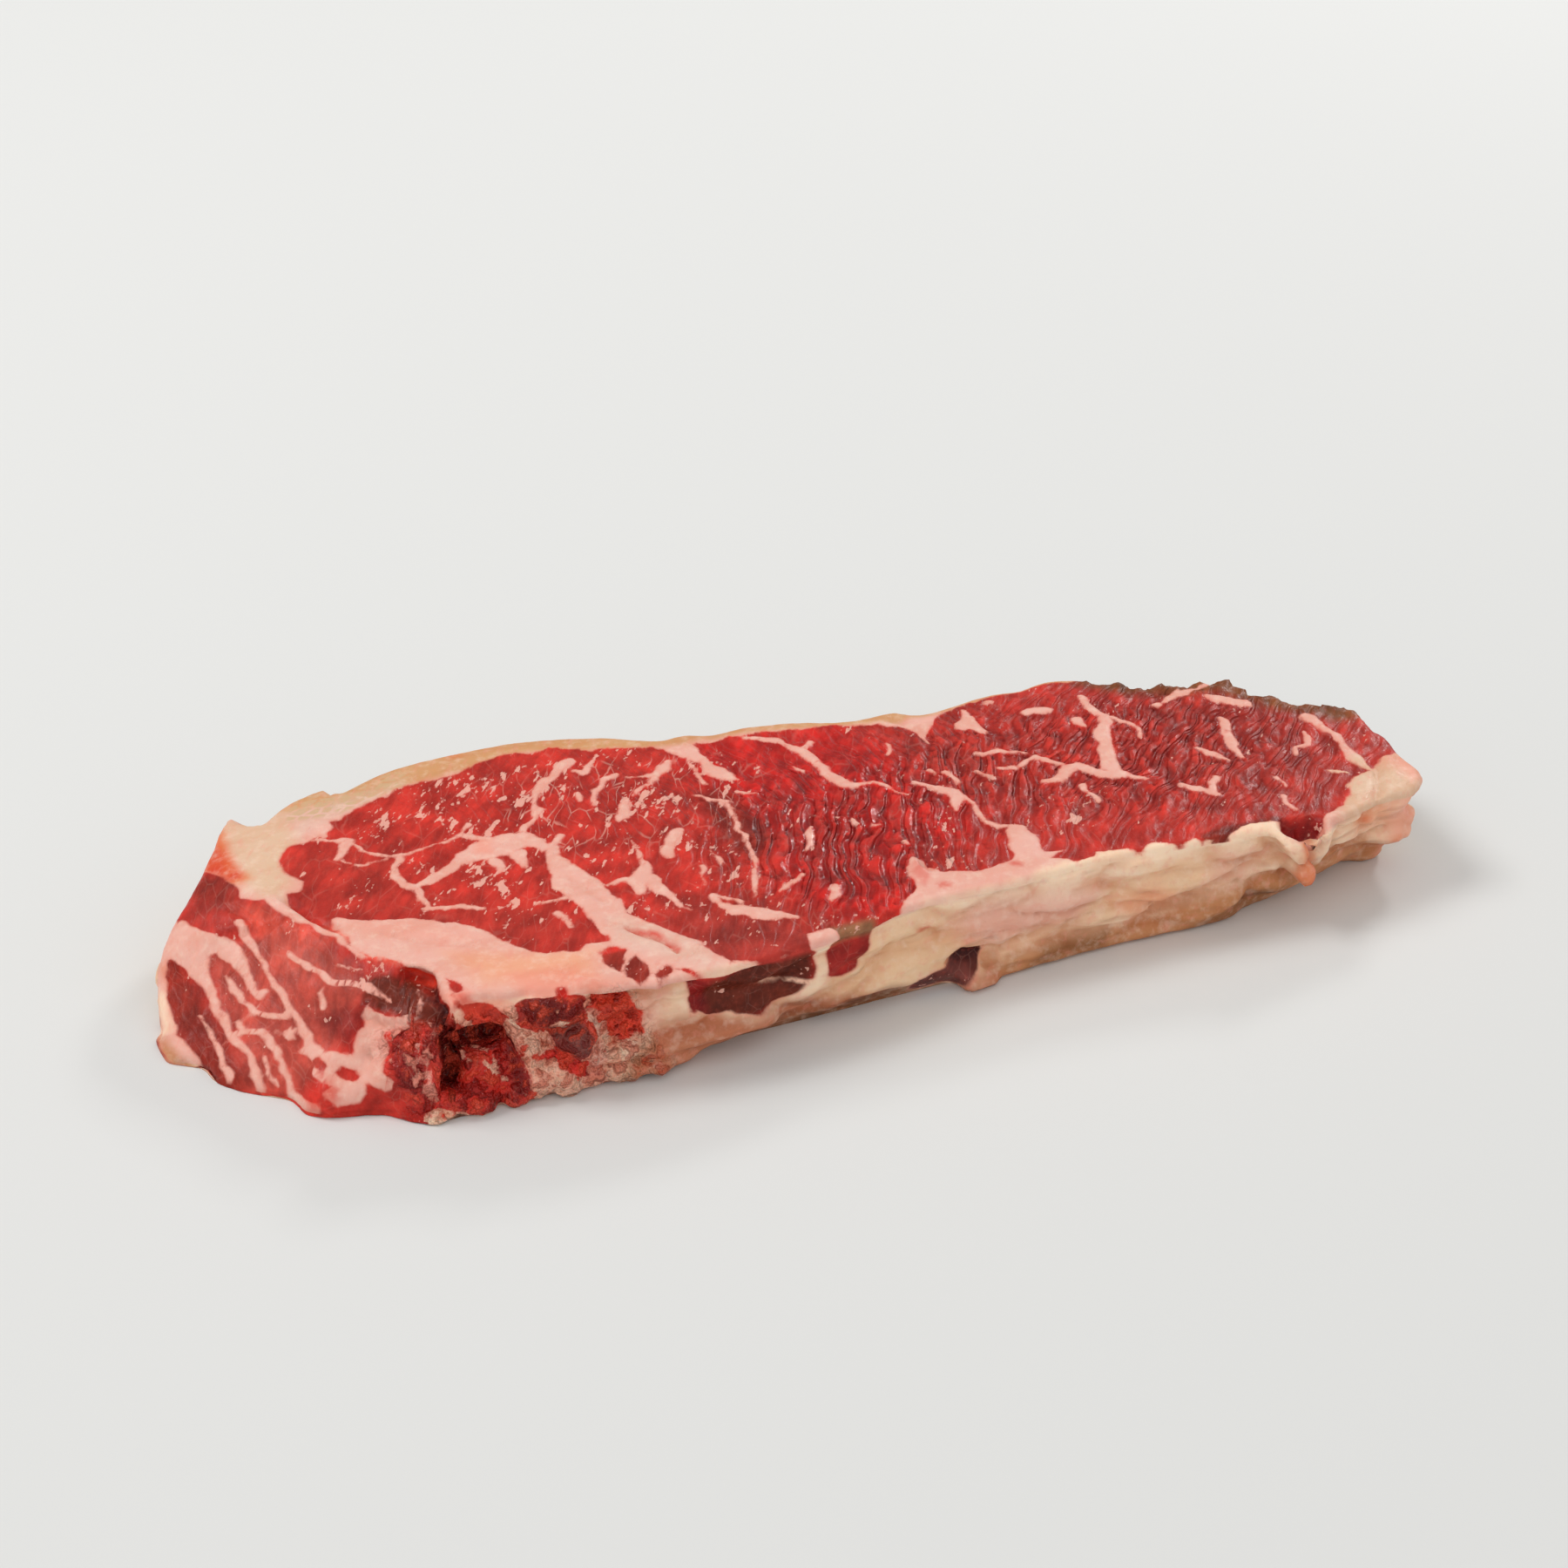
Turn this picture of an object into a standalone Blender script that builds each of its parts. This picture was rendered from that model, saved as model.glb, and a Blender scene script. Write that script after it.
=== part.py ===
"""Raw beef steak, boneless strip cut, one solid lying flat on its underside.

The slab is drawn by its rim, the line where the cut face meets the side wall.
The cut face is level over most of the length and runs down to the table at the
tail, past a ridge.  The wall is lofted from the rim to the foot line below it,
then pressed and swollen where the meat is torn, folded or knobbly.
X runs along the length, the fat cap faces -Y, and the underside is at Z = 0.
"""
import bpy
import numpy as np
from mathutils import Vector, noise
from mathutils.geometry import delaunay_2d_cdt

for old in list(bpy.data.objects):
    bpy.data.objects.remove(old, do_unlink=True)

MM = 0.001
THICKNESS = 23.0
RIM_ROUND = 1.3
FOOT_ROUND = 2.2
RIM_STEP = 3.1
FACE_STEP = 4.3
UNDER_STEP = 6.5
WALL_RINGS = 7
SHOULDER = 0.16
CRAG_HEIGHT = 0.9
FOLD_HEIGHT = 0.45
ROLL_HEIGHT = 0.55

# Rim of the cut face, millimetres: x, y, height, and how far the foot stands out of it
RIM = [
    (-134.6, -6.5, 2.2, 0.3), (-133.4, -13.0, 1.9, 0.3), (-129.0, -16.8, 1.9, 0.3), (-127.4, -21.5, 1.9, 0.3),
    (-124.6, -25.6, 1.9, 0.3), (-119.6, -29.8, 1.9, 0.3), (-114.6, -33.8, 2.0, 0.3), (-112.4, -39.4, 2.2, 0.3),
    (-108.0, -41.8, 2.4, 0.3), (-99.0, -44.3, 2.6, 0.3), (-95.0, -47.6, 3.2, 0.7), (-90.5, -50.6, 4.2, 1.2),
    (-87.0, -49.8, 8.0, 2.8), (-84.8, -46.4, 15.0, 6.0), (-81.5, -43.6, 21.0, 8.6), (-77.0, -43.0, 23.0, 8.0),
    (-71.0, -44.5, 23.0, 6.5), (-64.0, -46.5, 23.0, 4.5), (-57.0, -48.4, 23.0, 2.6), (-50.0, -49.8, 23.0, 1.0),
    (-42.0, -50.8, 23.0, -1.0), (-30.0, -51.0, 23.0, -4.0), (-20.0, -50.0, 23.0, -5.0), (-10.0, -48.2, 23.0, -4.0),
    (2.0, -45.5, 23.0, -1.0), (10.0, -42.6, 23.0, 1.0), (23.0, -41.2, 23.0, 2.0), (35.0, -41.0, 23.0, 1.0),
    (47.0, -39.6, 23.0, 1.0), (65.0, -38.6, 23.0, 0.5), (86.0, -39.6, 23.0, -1.0), (93.0, -40.0, 23.0, -5.0),
    (100.0, -41.2, 23.0, -8.0), (107.0, -41.4, 22.8, -11.0), (118.0, -38.6, 22.6, -12.0),
    (124.0, -36.6, 22.4, -12.5), (130.0, -35.2, 22.2, -11.0), (134.6, -32.6, 22.0, -9.0), (137.2, -27.5, 22.2, -6.0),
    (137.4, -20.0, 22.6, -2.0), (138.3, -13.0, 22.8, -1.5), (137.2, -9.0, 23.0, -1.0), (138.0, -2.0, 23.0, -1.0),
    (136.4, 3.0, 23.0, -1.5), (134.0, 5.8, 23.0, -2.0), (130.0, 6.2, 23.0, -1.0), (127.0, 7.8, 23.0, -1.5),
    (125.6, 11.4, 23.0, -2.0), (123.2, 14.8, 23.0, -2.0), (120.0, 15.0, 23.0, -1.0), (118.4, 19.2, 23.0, -2.0),
    (115.2, 24.0, 23.0, -2.0), (104.0, 25.2, 23.0, -1.0), (100.0, 27.2, 23.0, -1.5), (95.6, 27.0, 23.0, -1.0),
    (93.6, 30.2, 23.0, -1.5), (88.2, 32.8, 23.0, -1.0), (86.8, 34.6, 23.0, -1.5), (78.0, 36.8, 23.0, -1.5),
    (70.0, 35.0, 23.0, -0.5), (62.0, 35.4, 23.0, -0.5), (48.0, 32.4, 23.0, 0.0), (43.0, 33.0, 23.0, 0.0),
    (39.0, 35.2, 23.0, -0.5), (28.0, 35.0, 23.0, 0.0), (17.0, 38.4, 23.0, -0.5), (6.0, 40.2, 23.0, 0.0),
    (-2.0, 39.4, 23.0, 0.0), (-8.0, 41.4, 23.0, -0.5), (-15.0, 41.4, 23.0, 0.0), (-27.0, 47.2, 23.0, -0.5),
    (-44.0, 51.0, 23.0, -1.0), (-60.0, 50.4, 23.0, -1.0), (-74.0, 48.0, 23.0, -1.0), (-85.6, 42.7, 23.0, 0.0),
    (-89.0, 45.0, 23.0, -1.0), (-98.0, 41.0, 23.0, -0.5), (-104.5, 35.2, 23.0, 0.5), (-109.5, 39.8, 23.0, -1.0),
    (-112.4, 36.6, 22.8, -1.0), (-117.0, 27.5, 21.5, -1.0), (-120.9, 22.0, 19.5, -1.0), (-126.0, 16.0, 16.5, -0.6),
    (-129.7, 11.5, 13.5, -0.3), (-132.4, 7.5, 10.0, 0.2), (-133.4, 4.0, 7.0, 0.3), (-134.2, -1.0, 4.2, 0.3),
]

# Ridge where the level cut face turns down into the tail
RIDGE = [
    (-112.0, 38.0), (-113.0, 15.0), (-108.0, 6.0), (-105.0, 0.0), (-102.0, -7.0), (-99.0, -13.0),
    (-96.5, -20.0), (-93.0, -25.0), (-89.0, -29.0), (-86.0, -35.0), (-84.0, -46.0),
]


def closed_curve(rows, step):
    """Rows joined by a smooth closed curve, then spaced evenly along it."""
    rows = np.array(rows)
    here, ahead = rows, np.roll(rows, -1, 0)
    behind, beyond = np.roll(rows, 1, 0), np.roll(rows, -2, 0)
    pieces = []
    for t in np.arange(0, 1, 0.05):
        pieces.append(0.5 * (2 * here + (ahead - behind) * t
                             + (2 * behind - 5 * here + 4 * ahead - beyond) * t ** 2
                             + (3 * here - behind - 3 * ahead + beyond) * t ** 3))
    fine = np.stack(pieces, 1).reshape(-1, rows.shape[1])
    fine = np.vstack([fine, fine[:1]])
    run = np.concatenate([[0], np.cumsum(np.hypot(*np.diff(fine[:, :2], axis=0).T))])
    places = np.linspace(0, run[-1], int(run[-1] / step) + 1)[:-1]
    return np.stack([np.interp(places, run, fine[:, k]) for k in range(rows.shape[1])], 1)


def blur_loop(values, width):
    """Average of a closed row of values over a window of neighbours."""
    total = sum(np.roll(values, k, 0) for k in range(-width, width + 1))
    return total / (2 * width + 1)


def outward(loop, width):
    """Unit vectors pointing out of a loop that runs counterclockwise."""
    soft = blur_loop(loop[:, :2], width)
    along = np.roll(soft, -1, 0) - np.roll(soft, 1, 0)
    along /= np.linalg.norm(along, axis=1)[:, None]
    return np.stack([along[:, 1], -along[:, 0]], 1)


def to_line(points, line):
    """Distance from each point to a line of points, in two or three directions."""
    best = np.full(len(points), 1e9)
    for a, b in zip(line[:-1], line[1:]):
        a, b = np.array(a, float), np.array(b, float)
        share = np.clip((points - a) @ (b - a) / max((b - a) @ (b - a), 1e-9), 0, 1)
        best = np.minimum(best, np.linalg.norm(points - a - share[:, None] * (b - a), axis=1))
    return best


def inside(points, loop):
    """True for the points that lie inside a closed loop."""
    x, y = points[:, 0], points[:, 1]
    found = np.zeros(len(points), bool)
    for (ax, ay), (bx, by) in zip(loop, np.roll(loop, -1, 0)):
        if ay != by:
            found ^= ((ay > y) != (by > y)) & (x < (bx - ax) * (y - ay) / (by - ay) + ax)
    return found


def grain(points, size, seed):
    """Smooth seeded noise of about -1 to 1, with lumps of the given size."""
    shift = Vector((seed * 17.3, seed * 7.1, seed * 3.7))
    return np.array([noise.noise(Vector(p) / size + shift) for p in points])


def beyond_ridge(points):
    """True for the points on the tail side of the ridge."""
    tail_side = [(-150.0, 60.0)] + [(-112.0, 60.0)] + RIDGE + [(-84.0, -70.0), (-150.0, -70.0)]
    return inside(points, np.array(tail_side))


def face_height(points, loop):
    """Height of the cut face over a place: level, then down over the tail."""
    nearest = np.full(len(points), 1e9)
    edge = np.full(len(points), THICKNESS)
    for start in range(0, len(loop), 40):
        part = loop[start:start + 40]
        gap = np.linalg.norm(points[:, None, :2] - part[None, :, :2], axis=2)
        k = gap.argmin(1)
        low = gap[np.arange(len(points)), k]
        closer = low < nearest
        nearest = np.where(closer, low, nearest)
        edge = np.where(closer, part[k, 2], edge)
    past = np.where(beyond_ridge(points[:, :2]), to_line(points[:, :2], RIDGE), 0)
    share = past / np.maximum(past + nearest, 1e-6)
    bend = (np.sqrt(share ** 2 + SHOULDER ** 2) - SHOULDER) / (np.sqrt(1 + SHOULDER ** 2) - SHOULDER)
    return THICKNESS - (THICKNESS - edge) * bend, nearest


def filled(outline, step, seed, rings=()):
    """Triangles filling an outline, with its own points first and even ones inside."""
    low, high = outline.min(0), outline.max(0)
    chance = np.random.default_rng(seed)
    grid = []
    for row, y in enumerate(np.arange(low[1], high[1], step * 0.866)):
        x = np.arange(low[0] + (row % 2) * step / 2, high[0], step)
        grid.append(np.stack([x, np.full(len(x), y)], 1))
    grid = np.vstack(grid)
    grid += chance.uniform(-0.12, 0.12, grid.shape) * step
    closed = np.vstack([outline, outline[:1]])
    widest = max(rings) if rings else 0
    grid = grid[inside(grid, outline)]
    grid = grid[to_line(grid, closed) > widest + step * 0.55]
    extra = []
    out = outward(outline, 1)
    for ring in rings:
        band = outline - out * ring
        band = band[inside(band, outline)]
        extra.append(band[to_line(band, closed) > ring * 0.8])
    points = np.vstack([outline] + extra + [grid])
    made = delaunay_2d_cdt([Vector(p) for p in points], [], [list(range(len(outline)))], 1, 1e-5)
    if len(made[0]) != len(points):
        raise ValueError("the outline crosses itself")
    return np.array([tuple(v) for v in made[0]]), [tuple(f) for f in made[2]]


rim = closed_curve(RIM, RIM_STEP)
rim_out = outward(rim, 3)

# Crags along the dry back of the narrow end, small waves elsewhere
craggy = np.clip((rim[:, 0] - 84) / 8, 0, 1) * np.clip((rim[:, 1] - 2) / 4, 0, 1)
ragged = np.exp(-((rim[:, 0] + 72) / 16) ** 2) * (rim[:, 1] < -30)
wave = grain(np.column_stack([rim[:, :2], np.zeros(len(rim))]), 5.5, 3)
rim[:, :2] += rim_out * (wave * (0.25 + CRAG_HEIGHT * craggy + 0.6 * ragged))[:, None]

face_xy, face_faces = filled(rim[:, :2], FACE_STEP, 11, (0.55, RIM_ROUND))
face_z, from_rim = face_height(face_xy, rim)
rounding = np.minimum(RIM_ROUND, face_z * 0.6)
reach = np.clip(rounding - from_rim, 0, None)
face_z -= rounding - np.sqrt(np.maximum(rounding ** 2 - reach ** 2, 0))
flat_places = np.column_stack([face_xy, np.zeros(len(face_xy))])
calm = np.clip(from_rim / 5, 0, 1)
face_z += calm * (0.5 * grain(flat_places, 26, 5) + FOLD_HEIGHT * grain(flat_places, 9, 6))
edge_z = face_z[:len(rim)]

# Wall, ring under ring from the rim to the foot
rings = []
foot_round = np.minimum(FOOT_ROUND, edge_z * 0.45)
for ring in range(1, WALL_RINGS + 1):
    down = ring / WALL_RINGS
    z = edge_z * (1 - down)
    lean = np.where(rim[:, 3] > 0, rim[:, 3] * down ** 1.2, rim[:, 3] * down ** 1.8)
    tuck = np.clip(foot_round - z, 0, None)
    lean -= foot_round - np.sqrt(np.maximum(foot_round ** 2 - tuck ** 2, 0))
    fat = np.clip((rim[:, 2] - 10) / 10, 0, 1) * np.sin(np.pi * down)
    spots = np.column_stack([rim[:, 0] * 0.35, rim[:, 1] * 0.35, z * 1.6])
    lean += fat * ROLL_HEIGHT * grain(spots, 5, 8) * 2
    rings.append(np.column_stack([rim[:, :2] + rim_out * lean[:, None], z]))
foot = rings[-1][:, :2]
under_xy, under_faces = filled(foot, UNDER_STEP, 12)

# One mesh: cut face, wall rings, underside
count = len(rim)
verts = [np.column_stack([face_xy, face_z])] + rings
verts.append(np.column_stack([under_xy[count:], np.zeros(len(under_xy) - count)]))
verts = np.vstack(verts)
first_ring = len(face_xy)
last_ring = first_ring + (WALL_RINGS - 1) * count
after_rings = last_ring + count
faces = [f for f in face_faces]
for ring in range(WALL_RINGS):
    upper = 0 if ring == 0 else first_ring + (ring - 1) * count
    lower = first_ring + ring * count
    for k in range(count):
        n = (k + 1) % count
        faces.append((upper + k, lower + k, lower + n))
        faces.append((upper + k, lower + n, upper + n))
for f in under_faces:
    faces.append(tuple(last_ring + v if v < count else after_rings + v - count for v in f)[::-1])

# Presses and swellings: a line of points, a radius, and how far the middle moves
MOVES = [
    # cleft between the tail and the torn corner
    ([(-88.5, -33.0, 23.0), (-86.5, -41.0, 17.0), (-85.5, -48.0, 8.0)], 4.5, (1.0, 4.5, -2.5)),
    # hollow in the torn corner, with swollen lumps round it
    ([(-80.0, -47.0, 13.0), (-76.0, -47.0, 12.5)], 5.0, (0.0, 4.5, 0.5)),
    ([(-69.0, -48.0, 19.0), (-62.0, -48.5, 18.5)], 5.0, (0.0, -1.8, 0.3)),
    ([(-60.0, -49.5, 12.0)], 5.0, (0.0, -2.2, 0.0)),
    ([(-72.0, -51.5, 4.0), (-62.0, -51.5, 3.5)], 4.5, (0.0, -1.6, 0.0)),
    ([(-97.0, -42.0, 6.0), (-91.5, -43.0, 9.0)], 5.5, (-0.8, -1.8, 1.6)),
    # wall drawn back under the ledge of fat
    ([(-50.0, -50.0, 12.0), (-34.0, -50.0, 16.0), (-14.0, -47.5, 15.0)], 5.5, (0.0, 2.0, 0.0)),
    # roll of fat along the foot
    ([(-44.0, -49.5, 4.0), (-32.0, -48.5, 7.0), (-20.0, -47.0, 6.0)], 5.0, (0.0, -1.4, 0.0)),
    # slit and hanging nub in the fat cap
    ([(25.0, -43.0, 6.5), (31.0, -42.5, 6.5)], 4.0, (0.0, 2.6, 0.0)),
    ([(28.5, -44.5, 1.5)], 4.5, (0.0, -3.4, 0.0)),
    # upper and lower swelling of the cap with the crease between
    ([(40.0, -41.0, 15.0), (85.0, -40.5, 15.0)], 7.5, (0.0, -1.3, 0.0)),
    ([(36.0, -42.0, 7.0), (60.0, -40.5, 6.5), (80.0, -40.5, 8.5)], 4.0, (0.0, 1.3, 0.0)),
    # curled flap, and the pocket behind it
    ([(99.0, -42.0, 21.0), (102.5, -42.0, 15.0), (104.0, -40.5, 11.0)], 5.0, (0.5, -4.2, 0.0)),
    ([(100.5, -40.5, 23.0), (104.5, -40.5, 23.0)], 3.8, (0.0, 0.6, -4.5)),
    ([(108.0, -40.5, 19.0)], 4.5, (0.0, -1.8, 0.0)),
    # two knobs of fat at the narrow end, one over the other
    ([(131.0, -34.0, 20.5), (136.5, -28.0, 20.5)], 4.5, (0.9, -1.2, 0.0)),
    ([(131.0, -31.5, 9.0), (136.5, -27.0, 10.5)], 6.5, (3.0, -1.6, 0.0)),
    ([(126.0, -35.0, 16.5), (136.5, -28.5, 16.8), (138.0, -20.0, 16.5)], 3.2, (-1.5, 1.5, 0.0)),
]
for line, radius, shift in MOVES:
    line = line if len(line) > 1 else line * 2
    pull = np.clip(1 - (to_line(verts, line) / radius) ** 2, 0, 1) ** 2
    grounded = np.arange(len(verts)) >= last_ring
    moved = verts + pull[:, None] * np.array(shift)
    moved[:, 2] = np.where(grounded, 0, np.maximum(moved[:, 2], verts[:, 2].clip(0, 0.3)))
    verts = moved

# The frame's origin: middle of the footprint box, on the table
low, high = verts.min(0), verts.max(0)
verts -= [(low[0] + high[0]) / 2, (low[1] + high[1]) / 2, low[2]]

mesh = bpy.data.meshes.new("steak")
mesh.from_pydata([tuple(v) for v in verts * MM], [], faces)
mesh.update()
steak = bpy.data.objects.new("steak", mesh)
bpy.context.scene.collection.objects.link(steak)

meat = bpy.data.materials.new("raw_beef")
meat.use_nodes = True
shader = meat.node_tree.nodes["Principled BSDF"]
shader.inputs["Base Color"].default_value = (0.40, 0.040, 0.036, 1.0)
shader.inputs["Roughness"].default_value = 0.38
mesh.materials.append(meat)
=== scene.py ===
"""A raw beef steak dressed for its picture: marbled meat, fat cap, torn corner."""

import math

import bpy
import numpy as np
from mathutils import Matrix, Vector, noise
from mathutils.geometry import delaunay_2d_cdt


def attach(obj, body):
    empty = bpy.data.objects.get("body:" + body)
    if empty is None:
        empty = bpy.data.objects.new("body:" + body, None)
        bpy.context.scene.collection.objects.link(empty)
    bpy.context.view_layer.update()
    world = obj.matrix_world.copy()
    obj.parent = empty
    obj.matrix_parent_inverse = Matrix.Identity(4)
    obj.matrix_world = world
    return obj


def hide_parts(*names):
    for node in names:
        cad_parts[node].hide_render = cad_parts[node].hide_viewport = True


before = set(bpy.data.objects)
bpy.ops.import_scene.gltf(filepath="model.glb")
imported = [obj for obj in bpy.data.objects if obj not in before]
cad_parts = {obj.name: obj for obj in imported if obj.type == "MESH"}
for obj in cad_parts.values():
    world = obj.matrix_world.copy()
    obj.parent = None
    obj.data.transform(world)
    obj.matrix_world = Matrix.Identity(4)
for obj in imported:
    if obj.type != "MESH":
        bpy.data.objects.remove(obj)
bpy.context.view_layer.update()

# The slab of meat
# One thick slice across the loin of a side of beef, boneless, cut with a knife.
# The cut face is level, and at the tail it turns over a ridge and runs down to the table.
MM = 0.001
THICKNESS = 23.0
RIM_ROUND = 1.3
FOOT_ROUND = 2.2
SHOULDER = 0.16
RIM_STEP = 0.85
FACE_STEP = 0.98
VEIN_STEP = 0.6
UNDER_STEP = 1.7
WALL_RINGS = 26
CRAG_HEIGHT = 0.9
ROLL_HEIGHT = 1.1
FACE_SWELL = 0.5
MIDDLE = (1.89, -0.23)

# Rim of the cut face, millimetres: x, y, height, and how far the foot stands out of it
RIM = [
    (-134.6, -6.5, 2.2, 0.3), (-133.4, -13.0, 1.9, 0.3), (-129.0, -16.8, 1.9, 0.3),
    (-127.4, -21.5, 1.9, 0.3), (-124.6, -25.6, 1.9, 0.3), (-119.6, -29.8, 1.9, 0.3),
    (-114.6, -33.8, 2.0, 0.3), (-112.4, -39.4, 2.2, 0.3), (-108.0, -41.8, 2.4, 0.3),
    (-99.0, -44.3, 2.6, 0.3), (-95.0, -47.6, 3.2, 0.7), (-90.5, -50.6, 4.2, 1.2),
    (-87.0, -49.8, 8.0, 2.8), (-84.8, -46.4, 15.0, 6.0), (-81.5, -43.6, 21.0, 8.6),
    (-77.0, -43.0, 23.0, 8.0), (-71.0, -44.5, 23.0, 6.5), (-64.0, -46.5, 23.0, 4.5),
    (-57.0, -48.4, 23.0, 2.6), (-50.0, -49.8, 23.0, 1.0), (-42.0, -50.8, 23.0, -1.0),
    (-30.0, -51.0, 23.0, -4.0), (-20.0, -50.0, 23.0, -5.0), (-10.0, -48.2, 23.0, -4.0),
    (2.0, -45.5, 23.0, -1.0), (10.0, -42.6, 23.0, 1.0), (23.0, -41.2, 23.0, 2.0),
    (35.0, -41.0, 23.0, 1.0), (47.0, -39.6, 23.0, 1.0), (65.0, -38.6, 23.0, 0.5),
    (86.0, -39.6, 23.0, -1.0), (93.0, -40.0, 23.0, -5.0), (100.0, -41.2, 23.0, -8.0),
    (107.0, -41.4, 22.8, -11.0), (118.0, -38.6, 22.6, -12.0), (124.0, -36.6, 22.4, -12.5),
    (130.0, -35.2, 22.2, -11.0), (134.6, -32.6, 22.0, -9.0), (137.2, -27.5, 22.2, -6.0),
    (137.4, -20.0, 22.6, -2.0), (138.3, -13.0, 22.8, -1.5), (137.2, -9.0, 23.0, -1.0),
    (138.0, -2.0, 23.0, -1.0), (136.4, 3.0, 23.0, -1.5), (134.0, 5.8, 23.0, -2.0),
    (130.0, 6.2, 23.0, -1.0), (127.0, 7.8, 23.0, -1.5), (125.6, 11.4, 23.0, -2.0),
    (123.2, 14.8, 23.0, -2.0), (120.0, 15.0, 23.0, -1.0), (118.4, 19.2, 23.0, -2.0),
    (115.2, 24.0, 23.0, -2.0), (104.0, 25.2, 23.0, -1.0), (100.0, 27.2, 23.0, -1.5),
    (95.6, 27.0, 23.0, -1.0), (93.6, 30.2, 23.0, -1.5), (88.2, 32.8, 23.0, -1.0),
    (86.8, 34.6, 23.0, -1.5), (78.0, 36.8, 23.0, -1.5), (70.0, 35.0, 23.0, -0.5),
    (62.0, 35.4, 23.0, -0.5), (48.0, 32.4, 23.0, 0.0), (43.0, 33.0, 23.0, 0.0),
    (39.0, 35.2, 23.0, -0.5), (28.0, 35.0, 23.0, 0.0), (17.0, 38.4, 23.0, -0.5), (6.0, 40.2, 23.0, 0.0),
    (-2.0, 39.4, 23.0, 0.0), (-8.0, 41.4, 23.0, -0.5), (-15.0, 41.4, 23.0, 0.0),
    (-27.0, 47.2, 23.0, -0.5), (-44.0, 51.0, 23.0, -1.0), (-60.0, 50.4, 23.0, -1.0),
    (-74.0, 48.0, 23.0, -1.0), (-85.6, 42.7, 23.0, 0.0), (-89.0, 45.0, 23.0, -1.0),
    (-98.0, 41.0, 23.0, -0.5), (-104.5, 35.2, 23.0, 0.5), (-109.5, 39.8, 23.0, -1.0),
    (-112.4, 36.6, 22.8, -1.0), (-117.0, 27.5, 21.5, -1.0), (-120.9, 22.0, 19.5, -1.0),
    (-126.0, 16.0, 16.5, -0.6), (-129.7, 11.5, 13.5, -0.3), (-132.4, 7.5, 10.0, 0.2),
    (-133.4, 4.0, 7.0, 0.3), (-134.2, -1.0, 4.2, 0.3),
]
RIDGE = [
    (-112.0, 38.0), (-113.0, 15.0), (-108.0, 6.0), (-105.0, 0.0), (-102.0, -7.0), (-99.0, -13.0),
    (-96.5, -20.0), (-93.0, -25.0), (-89.0, -29.0), (-86.0, -35.0), (-84.0, -46.0),
]


def closed_curve(rows, step):
    """Rows joined by a smooth closed curve, then spaced evenly along it."""
    rows = np.array(rows)
    here, ahead = rows, np.roll(rows, -1, 0)
    behind, beyond = np.roll(rows, 1, 0), np.roll(rows, -2, 0)
    pieces = []
    for t in np.arange(0, 1, 0.05):
        pieces.append(0.5 * (2 * here + (ahead - behind) * t
                             + (2 * behind - 5 * here + 4 * ahead - beyond) * t ** 2
                             + (3 * here - behind - 3 * ahead + beyond) * t ** 3))
    fine = np.stack(pieces, 1).reshape(-1, rows.shape[1])
    fine = np.vstack([fine, fine[:1]])
    run = np.concatenate([[0], np.cumsum(np.hypot(*np.diff(fine[:, :2], axis=0).T))])
    places = np.linspace(0, run[-1], int(run[-1] / step) + 1)[:-1]
    return np.stack([np.interp(places, run, fine[:, k]) for k in range(rows.shape[1])], 1)


def outward(loop, width):
    """Unit vectors pointing out of a loop that runs counterclockwise."""
    soft = sum(np.roll(loop[:, :2], k, 0) for k in range(-width, width + 1))
    along = np.roll(soft, -1, 0) - np.roll(soft, 1, 0)
    along /= np.linalg.norm(along, axis=1)[:, None]
    return np.stack([along[:, 1], -along[:, 0]], 1)


def to_line(points, line):
    """Distance from each point to a line of points, in two or three directions."""
    best = np.full(len(points), 1e9)
    for a, b in zip(line[:-1], line[1:]):
        a, b = np.array(a, float), np.array(b, float)
        share = np.clip((points - a) @ (b - a) / max((b - a) @ (b - a), 1e-9), 0, 1)
        best = np.minimum(best, np.linalg.norm(points - a - share[:, None] * (b - a), axis=1))
    return best


def inside(points, loop):
    """True for the points that lie inside a closed loop."""
    x, y = points[:, 0], points[:, 1]
    found = np.zeros(len(points), bool)
    for (ax, ay), (bx, by) in zip(loop, np.roll(loop, -1, 0)):
        if ay != by:
            found ^= ((ay > y) != (by > y)) & (x < (bx - ax) * (y - ay) / (by - ay) + ax)
    return found


def lumps(points, size, seed):
    """Smooth seeded noise of about -1 to 1, with lumps of the given size."""
    shift = Vector((seed * 17.3, seed * 7.1, seed * 3.7))
    return np.array([noise.noise(Vector(p) / size + shift) for p in points])


def ramp(values, start, width):
    """0 up to a start, then rising to 1 over a width."""
    return np.clip((values - start) / width, 0, 1)


def flat(points):
    """Points of the plan as points in space, at height zero."""
    return np.column_stack([points[:, :2], np.zeros(len(points))])


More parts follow.
